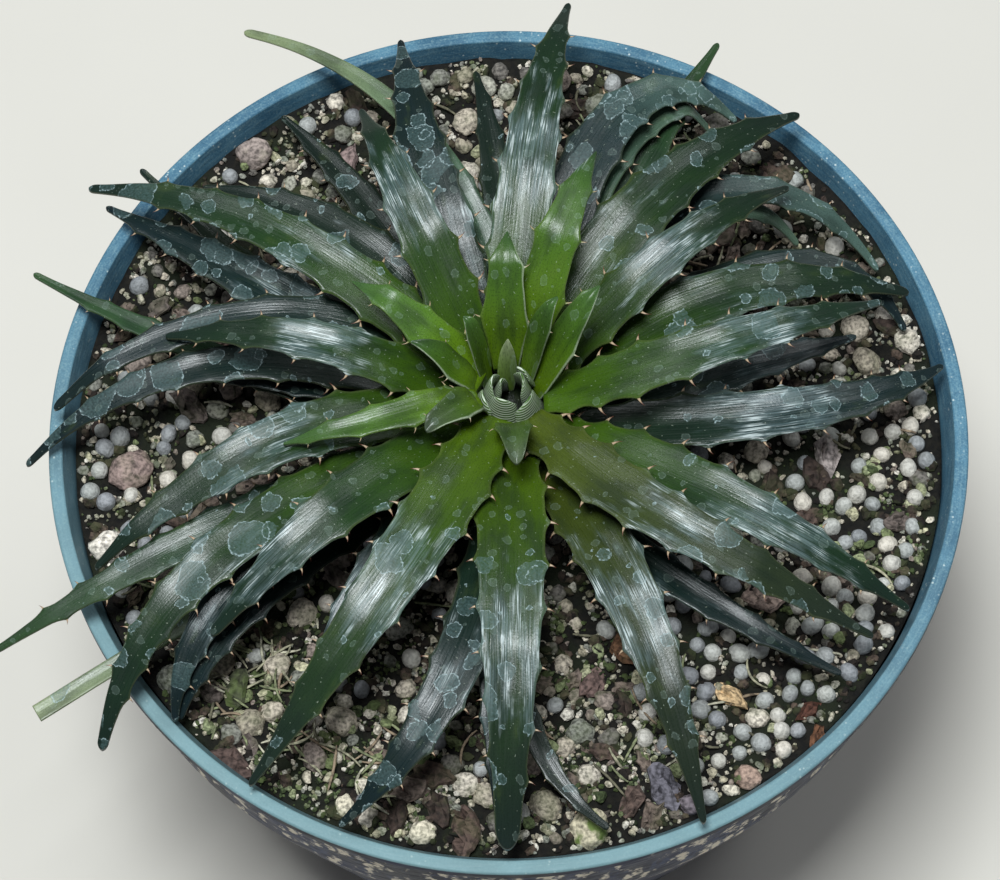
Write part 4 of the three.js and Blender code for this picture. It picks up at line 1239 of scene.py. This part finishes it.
# Heaps in the order they are laid: name, count, sizes, where, shape, closeness, sink, spread, finish.
HEAPS = [
    ("prills", 235, (1.4, 1.85), PRILLS_AT, prill, 0.86, 0.25, 1.0, (PRILLS, 1.6, 0.6, 0.1, 0.45, "#cfcfcf")),
    ("stones", 330, (1.1, 3.0), STONES_AT, lump, 0.78, 0.3, 2.0, (STONES, 1.6, 0.9, 0.3)),
    ("bark_chips", 170, (1.3, 3.4), BARK_AT, chip, 0.62, 0.2, 2.0, (BARKS, 1.2, 0.9, 0.2)),
    ("pale_grains", 420, (0.7, 1.6), PALE_AT, chunk, 0.8, 0.1, 2.0, (PALE_STONES, 1.8, 0.9, 0.35)),
    ("grit", 1100, (0.5, 1.1), STONES_AT, chunk, 0.0, 0.1, 1.3, (STONES, 2.2, 0.9, 0.5)),
    ("fine_grit", 5900, (0.3, 0.65), GRIT_AT, crumb, 0.0, -0.2, 1.0, (PALE_STONES + STONES, 2.4, 0.9, 0.5)),
    ("moss_bits", 420, (0.6, 1.6), MOSS_AT, chunk, 0.0, 0.0, 1.5, (MOSS_BITS, 2.0, 0.95, 0.5)),
    ("moss_crumbs", 4200, (0.2, 0.7), MOSS_AT, crumb, 0.0, -0.1, 1.5, (MOSSES, 2.5, 0.95, 0.6)),
    ("dark_crumbs", 3400, (0.5, 1.5), EVEN, crumb, 0.0, 0.2, 1.4, (DARK_CRUMBS, 1.5, 0.95, 0.3)),
    ("dry_stalks", 260, (1.8, 8), STRAW_AT, stalk, 0.0, -0.1, 1.3, (STALKS, 1.0, 0.9)),
]


def make_dressing():
    dressing = Dressing(DRESSING_SEED)
    make_landmarks(dressing)
    for name, count, sizes, favour, shape, closeness, sink, spread, finish in HEAPS:
        pile = Pile()
        dressing.lay(pile, count, sizes, favour, shape, closeness, sink, spread)
        pile.piece(name, mineral_finish(name + "_finish", *finish), "soil", shape in (prill, lump, stalk))


# ---- studio
LIGHT_COLOUR = (0.92, 0.97, 1.0)
LIGHTS = (("overhead", (-90, -90, 1200), 300, 16.0),  # name, place, size, power
          ("back_left", (-520, 460, 1000), 320, 2.2),
          ("back_right", (520, 460, 1000), 320, 2.0))
WORLD_COLOUR = (0.86, 0.9, 1.0, 1)
WORLD_STRENGTH = 0.16
FLOOR_REACH = 4.0


def aim(thing, place, roll=0.0):
    """Puts a thing at a place and points it at the middle of the pot's rim."""
    way = Vector((0, 0, POT_HEIGHT)) - Vector(place)
    thing.location = Vector(place) * MM
    thing.rotation_mode = "QUATERNION"
    turn = Euler((0, 0, math.radians(roll))).to_quaternion()
    thing.rotation_quaternion = way.to_track_quat("-Z", "Y") @ turn


def make_camera():
    lens = bpy.data.cameras.new("camera")
    lens.lens = CAMERA_LENS
    lens.sensor_width = SENSOR_WIDTH
    lens.shift_x, lens.shift_y = CAMERA_SHIFT
    lens.clip_start, lens.clip_end = CLIP_RANGE
    rise = math.radians(CAMERA_ELEVATION)
    place = (0, -CAMERA_DISTANCE * math.cos(rise), POT_HEIGHT + CAMERA_DISTANCE * math.sin(rise))
    camera = add_object("camera", lens)
    aim(camera, place, CAMERA_ROLL)
    bpy.context.scene.camera = camera


def make_lights():
    for name, place, size, power in LIGHTS:
        light = bpy.data.lights.new(name, "AREA")
        light.shape = "SQUARE"
        light.size = size * MM
        light.energy = power
        light.color = LIGHT_COLOUR
        aim(add_object(name, light), place)
    world = bpy.data.worlds.new("studio")
    world.use_nodes = True
    world.node_tree.nodes["Background"].inputs[0].default_value = WORLD_COLOUR
    world.node_tree.nodes["Background"].inputs[1].default_value = WORLD_STRENGTH
    bpy.context.scene.world = world
    bpy.context.scene.view_settings.view_transform = "Standard"


def make_floor():
    mesh = bpy.data.meshes.new("floor")
    corners = [(x * FLOOR_REACH, y * FLOOR_REACH, 0) for x, y in ((-1, -1), (1, -1), (1, 1), (-1, 1))]
    mesh.from_pydata(corners, [], [[0, 1, 2, 3]])
    paper = Finish("paper", 0.2)
    paper.give("Base Color", paper.mix(paper.noise(paper.position(), 0.02, 3.0), "#c8c4bb", "#cdc9c0"))
    paper.give("Roughness", 0.9)
    mesh.materials.append(paper.material)
    add_object("floor", mesh)


make_camera()
make_lights()
make_floor()
leaf_skin = leaf_finish()
make_leaves(leaf_skin)
make_heart(leaf_skin)
make_pot()
make_soil()
make_dressing()
